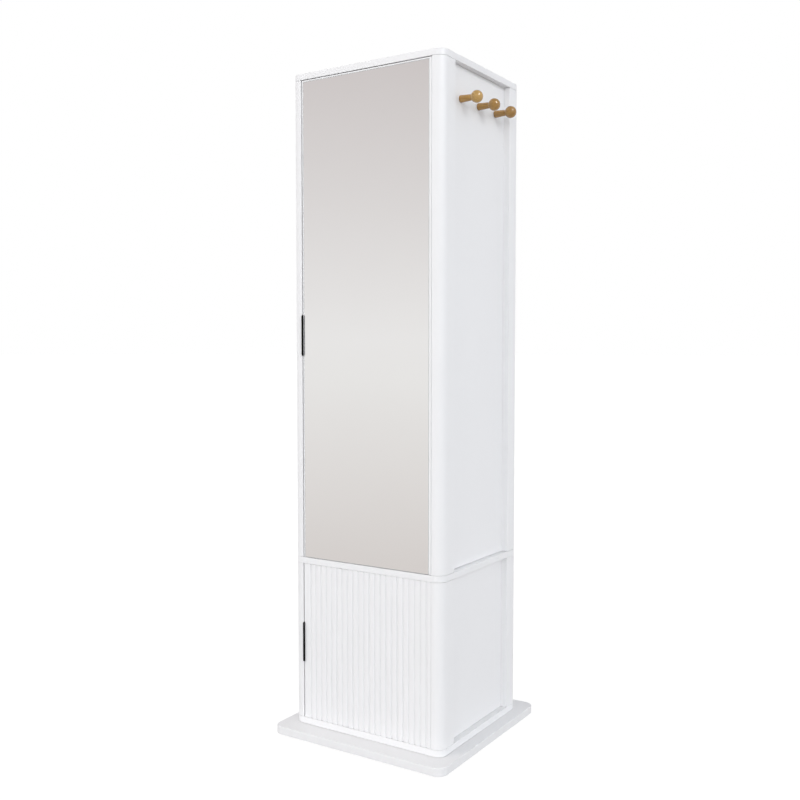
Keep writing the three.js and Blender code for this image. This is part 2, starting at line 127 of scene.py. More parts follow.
# Hinges: the screws' distance from the ends and from the arm's middle, the hollow along the
# arm, and the pin's radius, its end's slope and its place over the middle of the cup's depth
SCREW_INSET = 0.0065
ARM_SCREW_REACH = 0.009
CHANNEL_WALL = 0.0013
CHANNEL_DEPTH = 0.0014
PIN_RADIUS = 0.0015
PIN_SLOPE = 0.0002
PIN_LIFT = 0.0016

# Wall of a rail socket's collar
COLLAR_WALL = 0.0025

# Catches: the mouth's wall and depth, the poles' place in it, and the play, depth and sink of
# the plate's screw
CATCH_WALL = 0.0022
CATCH_MOUTH = 0.0012
POLE_SPREAD = 0.003
POLE_HALF_THICKNESS = 0.0007
POLE_HALF_LENGTH = 0.016
POLE_FRONT = 0.0003
POLE_BACK = 0.0016
STRIKE_PLAY = 0.0004
STRIKE_HOLE = 0.0011
STRIKE_SINK = 0.0014

# Width of the camera's sensor in millimetres, and of the floor in metres
SENSOR_WIDTH = 36
FLOOR_SIZE = 300

# Tones that gloss and the mirror show, from straight down at 0 to straight up at 1
MIRRORED_TONES = (
    (0.30, (0.66, 0.62, 0.61)),
    (0.38, (0.75, 0.70, 0.68)),
    (0.485, (0.92, 0.90, 0.89)),
    (0.505, (0.93, 0.91, 0.905)),
    (0.64, (0.70, 0.65, 0.645)),
    (0.85, (0.62, 0.58, 0.575)),
)


def amount(name, default, description, unit="NONE"):
    return FloatProperty(name=name, description=description, default=default, min=0, unit=unit)


def metres(name, default, description):
    return amount(name, default, description, unit="LENGTH")


def watts(name, default, description):
    return amount(name, default, description, unit="POWER")


def tone(name, default, description):
    return FloatVectorProperty(
        name=name, description=description, default=default, min=0, max=1, subtype="COLOR"
    )


def count(name, default, description, least):
    return IntProperty(name=name, description=description, default=default, min=least)


class WardrobeShape(bpy.types.PropertyGroup):
    """Sizes of the cabinet's pieces that the frame's boxes don't give."""

    board_corner: metres("Board corner", 0.024, "Radius of the upright corners of the boards and posts")
    base_corner: metres("Base corner", 0.026, "Radius of the upright corners of the base plate")
    base_inset: metres(
        "Base inset", 0.002, "How far the base plate's sides lie inside their place in the frame"
    )
    base_lift: metres(
        "Base lift", 0.0012, "How far the base plate's underside lies above its place in the frame"
    )
    corner_steps: count("Corner steps", 14, "Facets in each rounded upright corner", 4)
    board_edge: metres("Board edge", 0.0006, "Radius of the eased edges of the boards, posts and shelf")
    base_edge: metres("Base edge", 0.0014, "Radius of the eased edges of the base plate")
    door_edge: metres("Door edge", 0.0008, "Radius of the eased edges of the doors")
    panel_edge: metres("Panel edge", 0.0003, "Radius of the eased edges of the side and back panels")
    seam: metres("Seam", 0.0003, "Gap between pieces that touch")
    joint: metres("Joint", 0.00018, "Fine joint line between the ends of the posts and the boards")
    close_gap: metres("Close gap", 0.0008, "Gap under the cabinet and at the mirror door's hinge side")
    fine_gap: metres("Fine gap", 0.00055, "Gap round the lower door but for its pull side")
    panel_gap: metres(
        "Panel gap", 0.0006, "Gap between the side and back panels and the board under them"
    )
    under_gap: metres("Under gap", 0.0012, "Gap under the mirror door")
    top_gap: metres("Top gap", 0.0024, "Gap over the mirror door")
    race_inner: metres(
        "Bearing pocket, inner radius", 0.119, "Inner radius of the ring-shaped pocket for the bearing"
    )
    race_outer: metres(
        "Bearing pocket, outer radius", 0.161, "Outer radius of the ring-shaped pocket for the bearing"
    )
    race_depth: metres(
        "Bearing pocket, depth", 0.0035, "Depth of the pocket in the base plate and in the bottom board"
    )
    mirror_reach: metres(
        "Mirror reach", 0.0025, "How far the glass runs past its place in the frame, towards the pull"
    )
    mirror_pocket: metres("Mirror pocket", 0.0033, "Depth of the pocket that the mirror lies in")
    glass_arris: metres("Mirror arris", 0.0007, "Width of the polished slope along the mirror's edge")
    flute_count: count("Flutes", 22, "Number of upright flutes in the lower door", 2)
    flute_width: metres("Flute width", 0.006, "Width of a flute at the door's face")
    flute_depth: metres("Flute depth", 0.003, "Depth of a flute")
    flute_sides: count("Flute facets", 32, "Facets round the rod that a flute is cut with", 8)
    flute_margin_pull: metres(
        "Flute margin, pull side",
        0.022,
        "From the door's edge at the pull to the middle of the first flute",
    )
    flute_margin_hinge: metres(
        "Flute margin, hinge side",
        0.011,
        "From the door's edge at the hinges to the middle of the last flute",
    )
    pull_sheet: metres("Pull sheet", 0.0015, "Thickness of the sheet that the pulls are bent from")
    pull_lip: metres("Pull lip", 0.0034, "Width of the pull's lip in front of the door")
    pull_reach: metres("Pull reach", 0.0054, "How far the pull's lip stands in front of the door")
    pull_end: metres("Pull end", 0.0035, "Radius of the rounded ends of the pull's lip")
    peg_root: metres("Peg root", 0.009, "Radius of a peg's stem at the panel")
    peg_neck: metres("Peg neck", 0.0075, "Radius of a peg's stem below the ball")
    peg_ball: metres("Peg ball", 0.015, "Radius of a peg's ball")
    peg_fillet: metres("Peg fillet", 0.0025, "Radius of the hollow between a peg's stem and its ball")
    peg_tenon: metres("Peg tenon", 0.004, "Radius of the tenon that holds a peg in its panel")
    peg_tenon_length: metres("Peg tenon length", 0.0092, "Length of the tenon inside the panel")
    rail_wall: metres("Rail wall", 0.0012, "Wall of the hanging rail's tube")
    socket_flange: metres("Socket flange", 0.0027, "Thickness of a rail socket's flange")
    socket_collar: metres("Socket collar", 0.0153, "Outer radius of a rail socket's collar")
    cup_radius: metres("Hinge cup", 0.0175, "Outer radius of a hinge's cup")
    cup_depth: metres("Hinge cup depth", 0.011, "Depth of a hinge's cup below the door's back")
    cup_sheet: metres(
        "Hinge cup sheet", 0.0013, "Thickness of the steel that the hinge cups are pressed from"
    )
    cup_flange_width: metres("Hinge flange width", 0.016, "Width of the flange across a hinge's cup")
    crank_width: metres("Hinge crank width", 0.010, "Width of the crank that stands out of a hinge's cup")
    crank_thickness: metres(
        "Hinge crank thickness", 0.004, "Thickness of the crank that stands out of a hinge's cup"
    )
    crank_head: metres(
        "Hinge crank head", 0.0112, "From the middle of a hinge's cup to the end of its crank"
    )
    arm_plate: metres("Hinge plate", 0.0025, "Thickness of the plate under a hinge's arm")
    arm_plate_width: metres("Hinge plate width", 0.016, "Width of the plate under a hinge's arm")
    arm_width: metres("Hinge arm width", 0.014, "Width of a hinge's arm")
    screw_radius: metres("Screw head", 0.0032, "Radius of the fittings' screw heads")
    screw_height: metres("Screw head height", 0.0013, "Height of the screw heads")
    shelf_nosing: metres("Shelf nosing", 0.003, "Radius of the shelf's front edges")
    turned_sides: count("Round facets", 48, "Facets round the turned pieces", 12)


class WardrobeFinish(bpy.types.PropertyGroup):
    """Colours and gloss of the cabinet's finishes."""

    lacquer: tone("Lacquer", (0.82, 0.82, 0.828), "Colour of the cabinet's satin lacquer")
    base_lacquer: tone("Base lacquer", (0.806, 0.806, 0.814), "Colour of the base plate's satin lacquer")
    lacquer_roughness: FloatProperty(
        name="Lacquer roughness",
        description="Roughness of the satin lacquer",
        default=0.42,
        min=0,
        max=1,
        subtype="FACTOR",
    )
    mirror: tone("Mirror", (0.865, 0.872, 0.868), "Colour of the silvered glass")
    glass_edge: tone("Glass edge", (0.56, 0.60, 0.59), "Colour of the mirror's polished edge")
    pull: tone("Pull", (0.003, 0.0031, 0.0036), "Colour of the satin black pulls")
    beech_pale: tone("Beech, pale", (0.492, 0.272, 0.065), "Colour of the pegs' early wood")
    beech_dark: tone("Beech, dark", (0.337, 0.18, 0.041), "Colour of the pegs' late wood")
    # Partly painted light: the front pegs' balls are painted paler than the rest
    beech_front_balls: tone(
        "Beech, front balls",
        (0.60, 0.385, 0.125),
        "Colour of the paler wood that the front pegs' balls are turned from",
    )
    beech_fleck: tone("Beech fleck", (0.22, 0.10, 0.025), "Colour of the short flecks in the pegs' wood")
    nickel: tone("Nickel", (0.62, 0.62, 0.61), "Colour of the nickel-plated fittings")
    zinc: tone("Zinc", (0.50, 0.51, 0.53), "Colour of the bearing's plated steel")
    plastic: tone("Plastic", (0.80, 0.80, 0.78), "Colour of the moulded catches")
    felt: tone("Felt", (0.10, 0.10, 0.105), "Colour of the foot pads")


class WardrobeStage(bpy.types.PropertyGroup):
    """The camera, the lights and what stands round the cabinet."""

    camera_place: FloatVectorProperty(
        name="Camera place",
        description="Where the camera stands",
        default=(1.3768, -2.1779, 1.0111),
        subtype="TRANSLATION",
    )
    camera_turn: FloatProperty(
        name="Camera turn",
        description="The camera's turn about the upright, from looking along +Y",
        default=radians(32.76),
        subtype="ANGLE",
    )
    camera_tilt: FloatProperty(
        name="Camera tilt",
        description="How far the camera looks down",
        default=radians(2.97),
        subtype="ANGLE",
    )
    lens: FloatProperty(
        name="Lens",
        description="Focal length on a sensor of 36 millimetres",
        default=43.53,
        unit="CAMERA",
    )
    fill_low: amount(
        "Fill from the sides", 2.11, "Strength of the even light from all round, near the horizon"
    )
    fill_low_colour: tone(
        "Fill from the sides, colour", (0.942, 0.965, 1.0), "Colour of the even light near the horizon"
    )
    fill_high: amount("Fill from above", 0.628, "Strength of the even light from overhead")
    fill_high_colour: tone(
        "Fill from above, colour", (0.932, 0.959, 1.0), "Colour of the even light from overhead"
    )
    key: watts("Key", 1222, "Power of the broad soft light from high at the front left")
    key_colour: tone("Key colour", (1.0, 0.897, 0.80), "Colour of the broad soft light")
    front: watts("Front", 281, "Power of the low light beside the camera")
    accent: watts("Accent", 442, "Power of the smaller light from the right")
    sheen: watts("Highlight", 550, "Power of the light that only gloss shows")
    floor_colour: tone("Floor", (0.12, 0.12, 0.12), "Colour of the plain floor under shadows")
    floor_bounce: tone(
        "Floor bounce", (0.34, 0.34, 0.34), "Even light that the floor throws back on the cabinet"
    )
    floor_glow: amount(
        "Floor glow", 0.93, "Light of the floor where it is seen, so that it is as pale as the background"
    )


# Selecting and shaping


def shape():
    return bpy.context.scene.wardrobe_shape


def finish_values():
    return bpy.context.scene.wardrobe_finish


def stage_values():
    return bpy.context.scene.wardrobe_stage


def deselect():
    bpy.ops.object.select_all(action="DESELECT")


def use_only(piece):
    """Leaves one piece selected and active."""
    deselect()
    piece.select_set(True)
    bpy.context.view_layer.objects.active = piece


def settle(piece):
    """Puts a piece's place, turn and scale into its mesh."""
    use_only(piece)
    bpy.ops.object.transform_apply(location=True, rotation=True, scale=True)


def added(name):
    """Names the primitive that was just added and settles it."""
    piece = bpy.context.object
    piece.name = name
    piece.data.name = name
    settle(piece)
    return piece


def block(name, low, high):
    """A box between its lowest and highest corners."""
    low, high = Vector(low), Vector(high)
    deselect()
    bpy.ops.mesh.primitive_cube_add(size=1, location=(low + high) / 2, scale=high - low)
    return added(name)


def open_for_edit(piece, kind):
    use_only(piece)
    bpy.ops.object.mode_set(mode="EDIT")
    bpy.ops.mesh.select_mode(type=kind)
    bpy.ops.mesh.select_all(action="DESELECT")
    return bmesh.from_edit_mesh(piece.data)


def close_edit():
    bpy.ops.object.mode_set(mode="OBJECT")


def select_faces(piece, wanted):
    """Opens a piece with the faces selected whose middle and normal the test accepts."""
    mesh = open_for_edit(piece, "FACE")
    for face in mesh.faces:
        face.select_set(wanted(face.calc_center_median(), face.normal))
    bmesh.update_edit_mesh(piece.data)


def select_edges(piece, wanted):
    """Opens a piece with the edges selected whose two ends the test accepts."""
    mesh = open_for_edit(piece, "EDGE")
    for edge in mesh.edges:
        if wanted(edge.verts[0].co, edge.verts[1].co):
            edge.select_set(True)
    bmesh.update_edit_mesh(piece.data)


def extrude_right(piece, distance, wanted):
    """Extrudes the faces that face +X, and whose middle the test accepts, that way."""
    select_faces(piece, lambda middle, normal: normal.x > FACING and wanted(middle))
    bpy.ops.mesh.extrude_region_move(TRANSFORM_OT_translate={"value": (distance, 0, 0)})
    close_edit()


def sink_faces(piece, margin, depth, wanted):
    """Sinks the faces whose middle and normal the test accepts, inside a margin."""
    select_faces(piece, wanted)
    bpy.ops.mesh.inset(thickness=margin, depth=-depth)
    close_edit()


def score_across(piece, *places):
    """Cuts a line of edges round a piece at each of these places along Y."""
    open_for_edit(piece, "FACE")
    for place in places:
        bpy.ops.mesh.select_all(action="SELECT")
        bpy.ops.mesh.bisect(plane_co=(0, place, 0), plane_no=(0, 1, 0))
    close_edit()


def edges(along=None, **at):
    """A test for edges that run along one axis, if it is given, and lie at these coordinates."""
    others = [axis for axis in "xyz" if along and axis != along]

    def accepts(start, end):
        pairs = [(getattr(start, axis), getattr(end, axis)) for axis in others]
        for axis, place in at.items():
            pairs += [(getattr(start, axis), place), (getattr(end, axis), place)]
        return all(abs(first - second) < SAME for first, second in pairs)

    return accepts


def round_edges(piece, radius, steps, wanted):
    """Rounds the edges whose two ends the test accepts."""
    select_edges(piece, wanted)
    bpy.ops.mesh.bevel(offset=radius, segments=steps, affect="EDGES")
    close_edit()


def smooth(piece):
    """Smooths the round stretches and keeps the flat faces flat to the light."""
    use_only(piece)
    bpy.ops.object.shade_smooth_by_angle(angle=SHARP_ANGLE)
    weighted = piece.modifiers.new("Flat faces", "WEIGHTED_NORMAL")
    weighted.keep_sharp = True
    bpy.ops.object.modifier_apply(modifier=weighted.name)


def ease_edges(piece, width, steps=3):
    """Rounds every sharp edge of a piece a little."""
    use_only(piece)
    eased = piece.modifiers.new("Eased edges", "BEVEL")
    eased.width = width
    eased.segments = steps
    eased.limit_method = "ANGLE"
    eased.angle_limit = EASED_ANGLE
    bpy.ops.object.modifier_apply(modifier=eased.name)
    smooth(piece)


def cut_out(piece, cutter):
    """Cuts the cutter's shape out of the piece and takes the cutter away."""
    use_only(piece)
    cut = piece.modifiers.new("Cut", "BOOLEAN")
    cut.object = cutter
    cut.operation = "DIFFERENCE"
    cut.solver = "EXACT"
    bpy.ops.object.modifier_apply(modifier=cut.name)
    bpy.data.objects.remove(cutter)


def drill(piece, mouth, outward, radius, depth):
    """Drills a round hole of this depth from a point on the surface."""
    deselect()
    bpy.ops.mesh.primitive_cylinder_add(
        vertices=shape().turned_sides,
        radius=radius,
        depth=depth + OVERRUN,
        location=mouth + outward * (OVERRUN - depth) / 2,
        rotation=outward.to_track_quat("Z", "Y").to_euler(),
    )
    cut_out(piece, added("drill"))


def arc(centre, radius, start, end, steps):
    """Points of (radius, height) along an arc of a turned piece's outline."""
    points = []
    for step in range(steps + 1):
        turn = start + (end - start) * step / steps
        points.append((centre[0] + radius * cos(turn), centre[1] + radius * sin(turn)))
    return points


def lathe(name, outline, ring=False):
    """Turns an outline of (radius, height) points about the Z axis, extruding from point to point.

    A ring's outline comes back to its start. Any other outline is closed flat at its first
    point, and at its last one too, or in a pole where the last radius is zero.
    """
    radius, height = outline[0]
    deselect()
    bpy.ops.mesh.primitive_circle_add(
        vertices=shape().turned_sides,
        radius=radius,
        fill_type="NOTHING" if ring else "NGON",
        location=(0, 0, height),
    )
    piece = added(name)
    open_for_edit(piece, "VERT")
    bpy.ops.mesh.select_all(action="SELECT")
    for next_radius, next_height in outline[1:]:
        rise = {"value": (0, 0, next_height - height)}
        bpy.ops.mesh.extrude_region_move(TRANSFORM_OT_translate=rise)
        if next_radius == 0:
            bpy.ops.mesh.merge(type="CENTER")
            break
        share = next_radius / radius
        bpy.ops.transform.resize(value=(share, share, 1), center_override=(0, 0, next_height))
        radius, height = next_radius, next_height
    bpy.ops.mesh.select_all(action="SELECT")
    bpy.ops.mesh.remove_doubles(threshold=SAME)
    bpy.ops.mesh.normals_make_consistent(inside=False)
    close_edit()
    return piece


def set_in_place(piece, place, turn=(0, 0, 0)):
    """Turns a piece that was modelled at the origin and sets it in its place."""
    piece.location = place
    piece.rotation_euler = turn
    settle(piece)
    return piece


def copy_at(pattern, name, place, turn):
    """Sets a copy of a pattern, with its own mesh, in its place."""
    use_only(pattern)
    bpy.ops.object.duplicate(linked=False)
    return set_in_place(added(name), place, turn)


def towards_side(outward):
    """The turn from +Z towards +X for 1, and towards -X for -1."""
    return (0, outward * pi / 2, 0)


def join(pieces):
    """Makes one piece of several. The first one's name stays."""
    use_only(pieces[0])
    for piece in pieces[1:]:
        piece.select_set(True)
    bpy.ops.object.join()
    return pieces[0]


def stand_for(piece, node, slot):
    """Gives a piece its finish and lets it stand for a part of the frame, on the same body."""
    dress(piece, slot)
    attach(piece, frame["nodes"][node]["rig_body"])
    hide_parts(node)
    return piece


def dress(piece, slot):
    piece.data.materials.clear()
    piece.data.materials.append(finish_for(slot))


# Shader parts


def put(tree, socket, value):
    """Sets a socket, or links it where the value comes from another node."""
    if isinstance(value, bpy.types.NodeSocket):
        tree.links.new(value, socket)
    else:
        socket.default_value = value


def feed(tree, node, **values):
    """Sets or links a node's inputs. An underscore stands for a space in an input's name."""
    for label, value in values.items():
        put(tree, node.inputs[label.replace("_", " ")], value)


def add_node(tree, kind, **values):
    node = tree.nodes.new(kind)
    feed(tree, node, **values)
    return node


def spread(tree, value, low, high, start=0.0, end=1.0):
    """A number that runs from low to high as the value runs from start to end."""
    ends = {"From_Min": start, "From_Max": end, "To_Min": low, "To_Max": high}
    return add_node(tree, "ShaderNodeMapRange", Value=value, **ends).outputs["Result"]


def calculate(tree, operation, first, second):
    node = tree.nodes.new("ShaderNodeMath")
    node.operation = operation
    put(tree, node.inputs[0], first)
    put(tree, node.inputs[1], second)
    return node.outputs[0]


def blend_colours(tree, share, first, second):
    node = tree.nodes.new("ShaderNodeMix")
    node.data_type = "RGBA"
    put(tree, node.inputs[0], share)
    for socket, value in ((node.inputs[6], first), (node.inputs[7], second)):
        put(tree, socket, value if isinstance(value, bpy.types.NodeSocket) else (*value, 1))
    return node.outputs[2]


def tinted(colour, share):
    return tuple(channel * share for channel in colour)


def two_tones(tree, share, colour, low, high):
    """A colour that runs between two tints of itself."""
    return blend_colours(tree, share, tinted(colour, low), tinted(colour, high))


def noise(tree, place, scale, detail, roughness):
    values = {"Vector": place, "Scale": scale, "Detail": detail, "Roughness": roughness}
    return add_node(tree, "ShaderNodeTexNoise", **values).outputs[0]


def stretched_noise(tree, place, stretch, detail, roughness):
    """Noise whose pattern is drawn out or pressed together along each axis."""
    mapping = add_node(tree, "ShaderNodeMapping", Vector=place, Scale=stretch)
    return noise(tree, mapping.outputs["Vector"], 1.0, detail, roughness)


def new_group(name, outputs, **inputs):
    """Starts an effect that reads a place and these values, and puts out numbers."""
    group = bpy.data.node_groups.new(name, "ShaderNodeTree")
    group.interface.new_socket("Place", in_out="INPUT", socket_type="NodeSocketVector")
    for label, value in inputs.items():
        kind = "NodeSocketVector" if isinstance(value, tuple) else "NodeSocketFloat"
        label = label.replace("_", " ")
        socket = group.interface.new_socket(label, in_out="INPUT", socket_type=kind)
        socket.default_value = value
    for label in outputs:
        group.interface.new_socket(label, in_out="OUTPUT", socket_type="NodeSocketFloat")
    given = group.nodes.new("NodeGroupInput").outputs
    return group, given, group.nodes.new("NodeGroupOutput")


effects = {}


def place_effect(tree, make, **values):
    """Places a shared effect, which is made the first time that it is asked for."""
    if make not in effects:
        effects[make] = make()
    node = tree.nodes.new("ShaderNodeGroup")
    node.node_tree = effects[make]
    feed(tree, node, **values)
    return node.outputs


def sprayed_surface():
    """The fine ripple and the faint clouds of a sprayed or moulded surface."""
    outputs = ("Ripple", "Cloud")
    group, given, made = new_group("Sprayed surface", outputs, Ripple_Scale=700.0, Cloud_Scale=6.0)
    ripple = noise(group, given["Place"], given["Ripple Scale"], detail=3.0, roughness=0.55)
    cloud = noise(group, given["Place"], given["Cloud Scale"], detail=4.0, roughness=0.6)
    feed(group, made, Ripple=ripple, Cloud=spread(group, cloud, 0.0, 1.0, 0.3, 0.7))
    return group


def spray_on(tree, place, ripple, cloud):
    return place_effect(tree, sprayed_surface, Place=place, Ripple_Scale=ripple, Cloud_Scale=cloud)


def worn_and_highlit_edges():
    """A mask of the piece's outer edges, broken up so that it isn't even: rubbed edges on the pulls, and
    a painted highlight along the lacquer's edges.
    """
    group, given, made = new_group("Worn and highlit edges", ("Edge",), Amount=0.5)
    point = group.nodes.new("ShaderNodeNewGeometry").outputs["Pointiness"]
    edge = spread(group, point, 0.0, 1.0, 0.52, 0.62)
    patches = noise(group, given["Place"], 60.0, detail=4.0, roughness=0.6)
    mask = calculate(group, "MULTIPLY", edge, spread(group, patches, 0.25, 1.0, 0.35, 0.65))
    feed(group, made, Edge=calculate(group, "MULTIPLY", mask, given["Amount"]))
    return group


def drawn_lines():
    """Fine lines along one direction, as on brushed, drawn or turned metal."""
    group, given, made = new_group("Drawn lines", ("Lines",), Stretch=(1.0, 1.0, 1.0))
    place, stretch = given["Place"], given["Stretch"]
    lines = stretched_noise(group, place, stretch, detail=3.0, roughness=0.65)
    feed(group, made, Lines=lines)
    return group


def wood_figure():
    """Growth bands, short flecks and fine pores of turned wood whose grain runs along X."""
    group, given, made = new_group("Wood figure", ("Bands", "Flecks", "Pores"))
    bands, flecks, pores = (
        stretched_noise(group, given["Place"], stretch, detail, roughness=0.6)
        for stretch, detail in (
            ((28.0, 150.0, 260.0), 3.0),
            ((260.0, 1100.0, 1500.0), 2.0),
            ((400.0, 2600.0, 2600.0), 3.0),
        )
    )
    feed(
        group,
        made,
        Bands=spread(group, bands, 0.0, 1.0, 0.3, 0.7),
        Flecks=spread(group, flecks, 0.0, 1.0, 0.57, 0.66),
        Pores=pores,
    )
    return group


# Finishes


def start_material(name, **values):
    """A new material with its shader and the place on the piece that its patterns read."""
    material = bpy.data.materials.new(name)
    material.use_nodes = True
    tree = material.node_tree
    shader = tree.nodes["Principled BSDF"]
    feed(tree, shader, **values)
    place = tree.nodes.new("ShaderNodeTexCoord").outputs["Object"]
    return material, tree, shader, place


def emboss(tree, shader, height, strength, distance):
    """Turns a height into fine relief."""
    values = {"Height": height, "Strength": strength, "Distance": distance}
    bump = add_node(tree, "ShaderNodeBump", **values)
    feed(tree, shader, Normal=bump.outputs["Normal"])


def lacquer_finish(name, colour):
    """Satin lacquer: a fine ripple from the spray gun, faint clouds, and edges painted slightly paler as
    a painted highlight.
    """
    roughness = finish_values().lacquer_roughness
    material, tree, shader, place = start_material(name)
    spray = spray_on(tree, place, ripple=650.0, cloud=5.0)
    wear_and_highlight = place_effect(tree, worn_and_highlit_edges, Place=place, Amount=0.35)
    clouded = two_tones(tree, spray["Cloud"], colour, 0.985, 1.0)
    # Painted highlight: the lacquer is painted 3 per cent paler along the edge mask
    paler = tuple(min(1.0, channel * 1.03) for channel in colour)
    feed(
        tree,
        shader,
        Base_Color=blend_colours(tree, wear_and_highlight["Edge"], clouded, paler),
        Roughness=spread(tree, spray["Cloud"], roughness - 0.04, roughness + 0.04),
    )
    emboss(tree, shader, spray["Ripple"], strength=0.06, distance=0.0004)
    return material


def mirror_finish():
    """Silvered float glass with hardly any haze."""
    material, tree, shader, place = start_material("Silvered mirror", Metallic=1.0)
    spray = spray_on(tree, place, ripple=40.0, cloud=3.0)
    feed(
        tree,
        shader,
        Base_Color=two_tones(tree, spray["Cloud"], finish_values().mirror, 0.985, 1.0),
        Roughness=spread(tree, spray["Cloud"], 0.0, 0.018),
    )
    return material


def glass_edge_finish():
    """The ground and polished edge of the mirror, greenish where the light runs in the glass."""
    material, tree, shader, place = start_material("Mirror edge")
    grind = place_effect(tree, drawn_lines, Place=place, Stretch=(900.0, 900.0, 30.0))
    feed(
        tree,
        shader,
        Base_Color=two_tones(tree, grind["Lines"], finish_values().glass_edge, 0.8, 1.2),
        Roughness=spread(tree, grind["Lines"], 0.08, 0.25),
    )
    return material


def pull_finish():
    """Satin black powder coat, a little paler and glossier where hands rub its edges."""
    material, tree, shader, place = start_material("Black powder coat", Specular_IOR_Level=0.08)
    spray = spray_on(tree, place, ripple=2200.0, cloud=30.0)
    wear_and_highlight = place_effect(tree, worn_and_highlit_edges, Place=place, Amount=0.5)
    colour = finish_values().pull
    clouded = two_tones(tree, spray["Cloud"], colour, 0.8, 1.2)
    feed(
        tree,
        shader,
        Base_Color=blend_colours(tree, wear_and_highlight["Edge"], clouded, tinted(colour, 3.0)),
        Roughness=spread(tree, wear_and_highlight["Edge"], 0.5, 0.36),
    )
    emboss(tree, shader, spray["Ripple"], strength=0.25, distance=0.0002)
    return material


def beech_finish():
    """Oiled beech with bands, short dark flecks and fine pores.

    The pegs are painted paler towards the front, and the front pegs' balls paler still: partly
    the wood's own tone, partly painted light on the front pegs and painted shade on the rear ones.
    """
    colours = finish_values()
    material, tree, shader, place = start_material(
        "Oiled beech", Specular_IOR_Level=0.1, Coat_Weight=0.9, Coat_Roughness=0.12, Coat_IOR=1.6
    )
    figure = place_effect(tree, wood_figure, Place=place)
    along = add_node(tree, "ShaderNodeSeparateXYZ", Vector=place).outputs
    # Painted light and shade: the pegs are painted paler towards the front and darker towards the rear
    forward = spread(tree, along["Y"], 1.0, 0.0, *PALER_TO_FRONT)
    from_middle = calculate(tree, "ABSOLUTE", along["X"], 0.0)
    in_ball = spread(tree, from_middle, 0.0, 0.6, *BALLS)
    in_front = spread(tree, along["Y"], 1.0, 0.0, *FRONT_PEGS)
    pale = two_tones(tree, forward, colours.beech_pale, 0.86, 1.07)
    dark = two_tones(tree, forward, colours.beech_dark, 0.86, 1.07)
    banded = blend_colours(tree, figure["Bands"], dark, pale)
    # Painted light: the front pegs' balls are painted paler still
    front_ball_share = calculate(tree, "MULTIPLY", in_ball, in_front)
    streaked = blend_colours(tree, front_ball_share, banded, colours.beech_front_balls)
    toned = blend_colours(tree, spread(tree, figure["Pores"], 0.0, 0.3), streaked, dark)
    fleck_share = calculate(tree, "MULTIPLY", figure["Flecks"], 0.8)
    feed(
        tree,
        shader,
        Base_Color=blend_colours(tree, fleck_share, toned, colours.beech_fleck),
        Roughness=spread(tree, figure["Pores"], 0.28, 0.42),
    )
    emboss(tree, shader, figure["Pores"], strength=0.08, distance=0.0001)
    return material


def plated_finish(name, colour, roughness, stretch):
    """Plated steel with fine drawn lines and duller clouds."""
    material, tree, shader, place = start_material(name, Metallic=1.0)
    lines = place_effect(tree, drawn_lines, Place=place, Stretch=stretch)["Lines"]
    spray = spray_on(tree, place, ripple=900.0, cloud=40.0)
    feed(
        tree,
        shader,
        Base_Color=two_tones(tree, spray["Cloud"], colour, 0.9, 1.06),
        Roughness=spread(tree, lines, roughness - 0.08, roughness + 0.1),
    )
    emboss(tree, shader, lines, strength=0.08, distance=0.0001)
    return material


def plastic_finish():
    """Moulded plastic with the fine grain of its mould."""
    material, tree, shader, place = start_material("Moulded plastic")
    spray = spray_on(tree, place, ripple=3000.0, cloud=50.0)
    feed(
        tree,
        shader,
        Base_Color=two_tones(tree, spray["Cloud"], finish_values().plastic, 0.97, 1.0),
        Roughness=spread(tree, spray["Cloud"], 0.45, 0.56),
    )
    emboss(tree, shader, spray["Ripple"], strength=0.2, distance=0.0001)
    return material


def felt_finish():
    """Pressed felt: tangled short fibres in two greys."""
    material, tree, shader, place = start_material("Pressed felt", Roughness=0.95, Sheen_Weight=0.3)
    spray = spray_on(tree, place, ripple=1800.0, cloud=700.0)
    fibres = two_tones(tree, spray["Cloud"], finish_values().felt, 0.6, 1.6)
    feed(tree, shader, Base_Color=fibres)
    emboss(tree, shader, spray["Ripple"], strength=0.8, distance=0.0006)
    return material


finishes = {}


def finish_for(slot):
    """The material of one of the record's slots, made the first time that it is asked for."""
    if slot in finishes:
        return finishes[slot]
    values = finish_values()
    makers = {
        "white_lacquer": (lacquer_finish, "White lacquer", values.lacquer),
        "base_lacquer": (lacquer_finish, "Base lacquer", values.base_lacquer),
        "mirror": (mirror_finish,),
        "black_pull": (pull_finish,),
        "beech": (beech_finish,),
        "nickel": (plated_finish, "Nickel plate", values.nickel, 0.26, (60.0, 2400.0, 2400.0)),
        "bearing_steel": (plated_finish, "Zinc plate", values.zinc, 0.34, (2400.0, 2400.0, 90.0)),
        "white_plastic": (plastic_finish,),
        "felt": (felt_finish,),
    }
    make, *facts = makers[slot]
    finishes[slot] = make(*facts)
    return finishes[slot]


# The pieces


def finished_name(node):
    return f"{node}_finished"


def peg_nodes(side):
    return [f"coat_peg_{side}_{place}" for place in ("front", "middle", "rear")]


def middle_of(node):
    low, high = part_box(node)
    return (low + high) / 2


def base_plate_box():
    """Where the base plate lies, a little narrower and thinner than in the frame."""
    low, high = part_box("base_plate")
    low.x += shape().base_inset
    high.x -= shape().base_inset
    low.z += shape().base_lift
    return low, high


def bottom_board_box():
    """Where the bottom board lies, with a finer gap under it than in the frame."""
    low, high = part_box("bottom_board")
    low.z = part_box("base_plate")[1].z + shape().close_gap
    return low, high


def model_rounded_board(node, box, corner, edge, pocket_height=None):
    """A full-width board with rounded corners, and a pocket for the bearing where it has one."""
    board = block(finished_name(node), *box)
    round_edges(board, corner, shape().corner_steps, edges("z"))
    if pocket_height is not None:
        inner, outer, reach = shape().race_inner, shape().race_outer, shape().race_depth
        bottom, top = pocket_height - reach, pocket_height + reach
        outline = [(inner, bottom), (outer, bottom), (outer, top), (inner, top), (inner, bottom)]
        cut_out(board, lathe("pocket", outline, ring=True))
    ease_edges(board, edge)
    return board


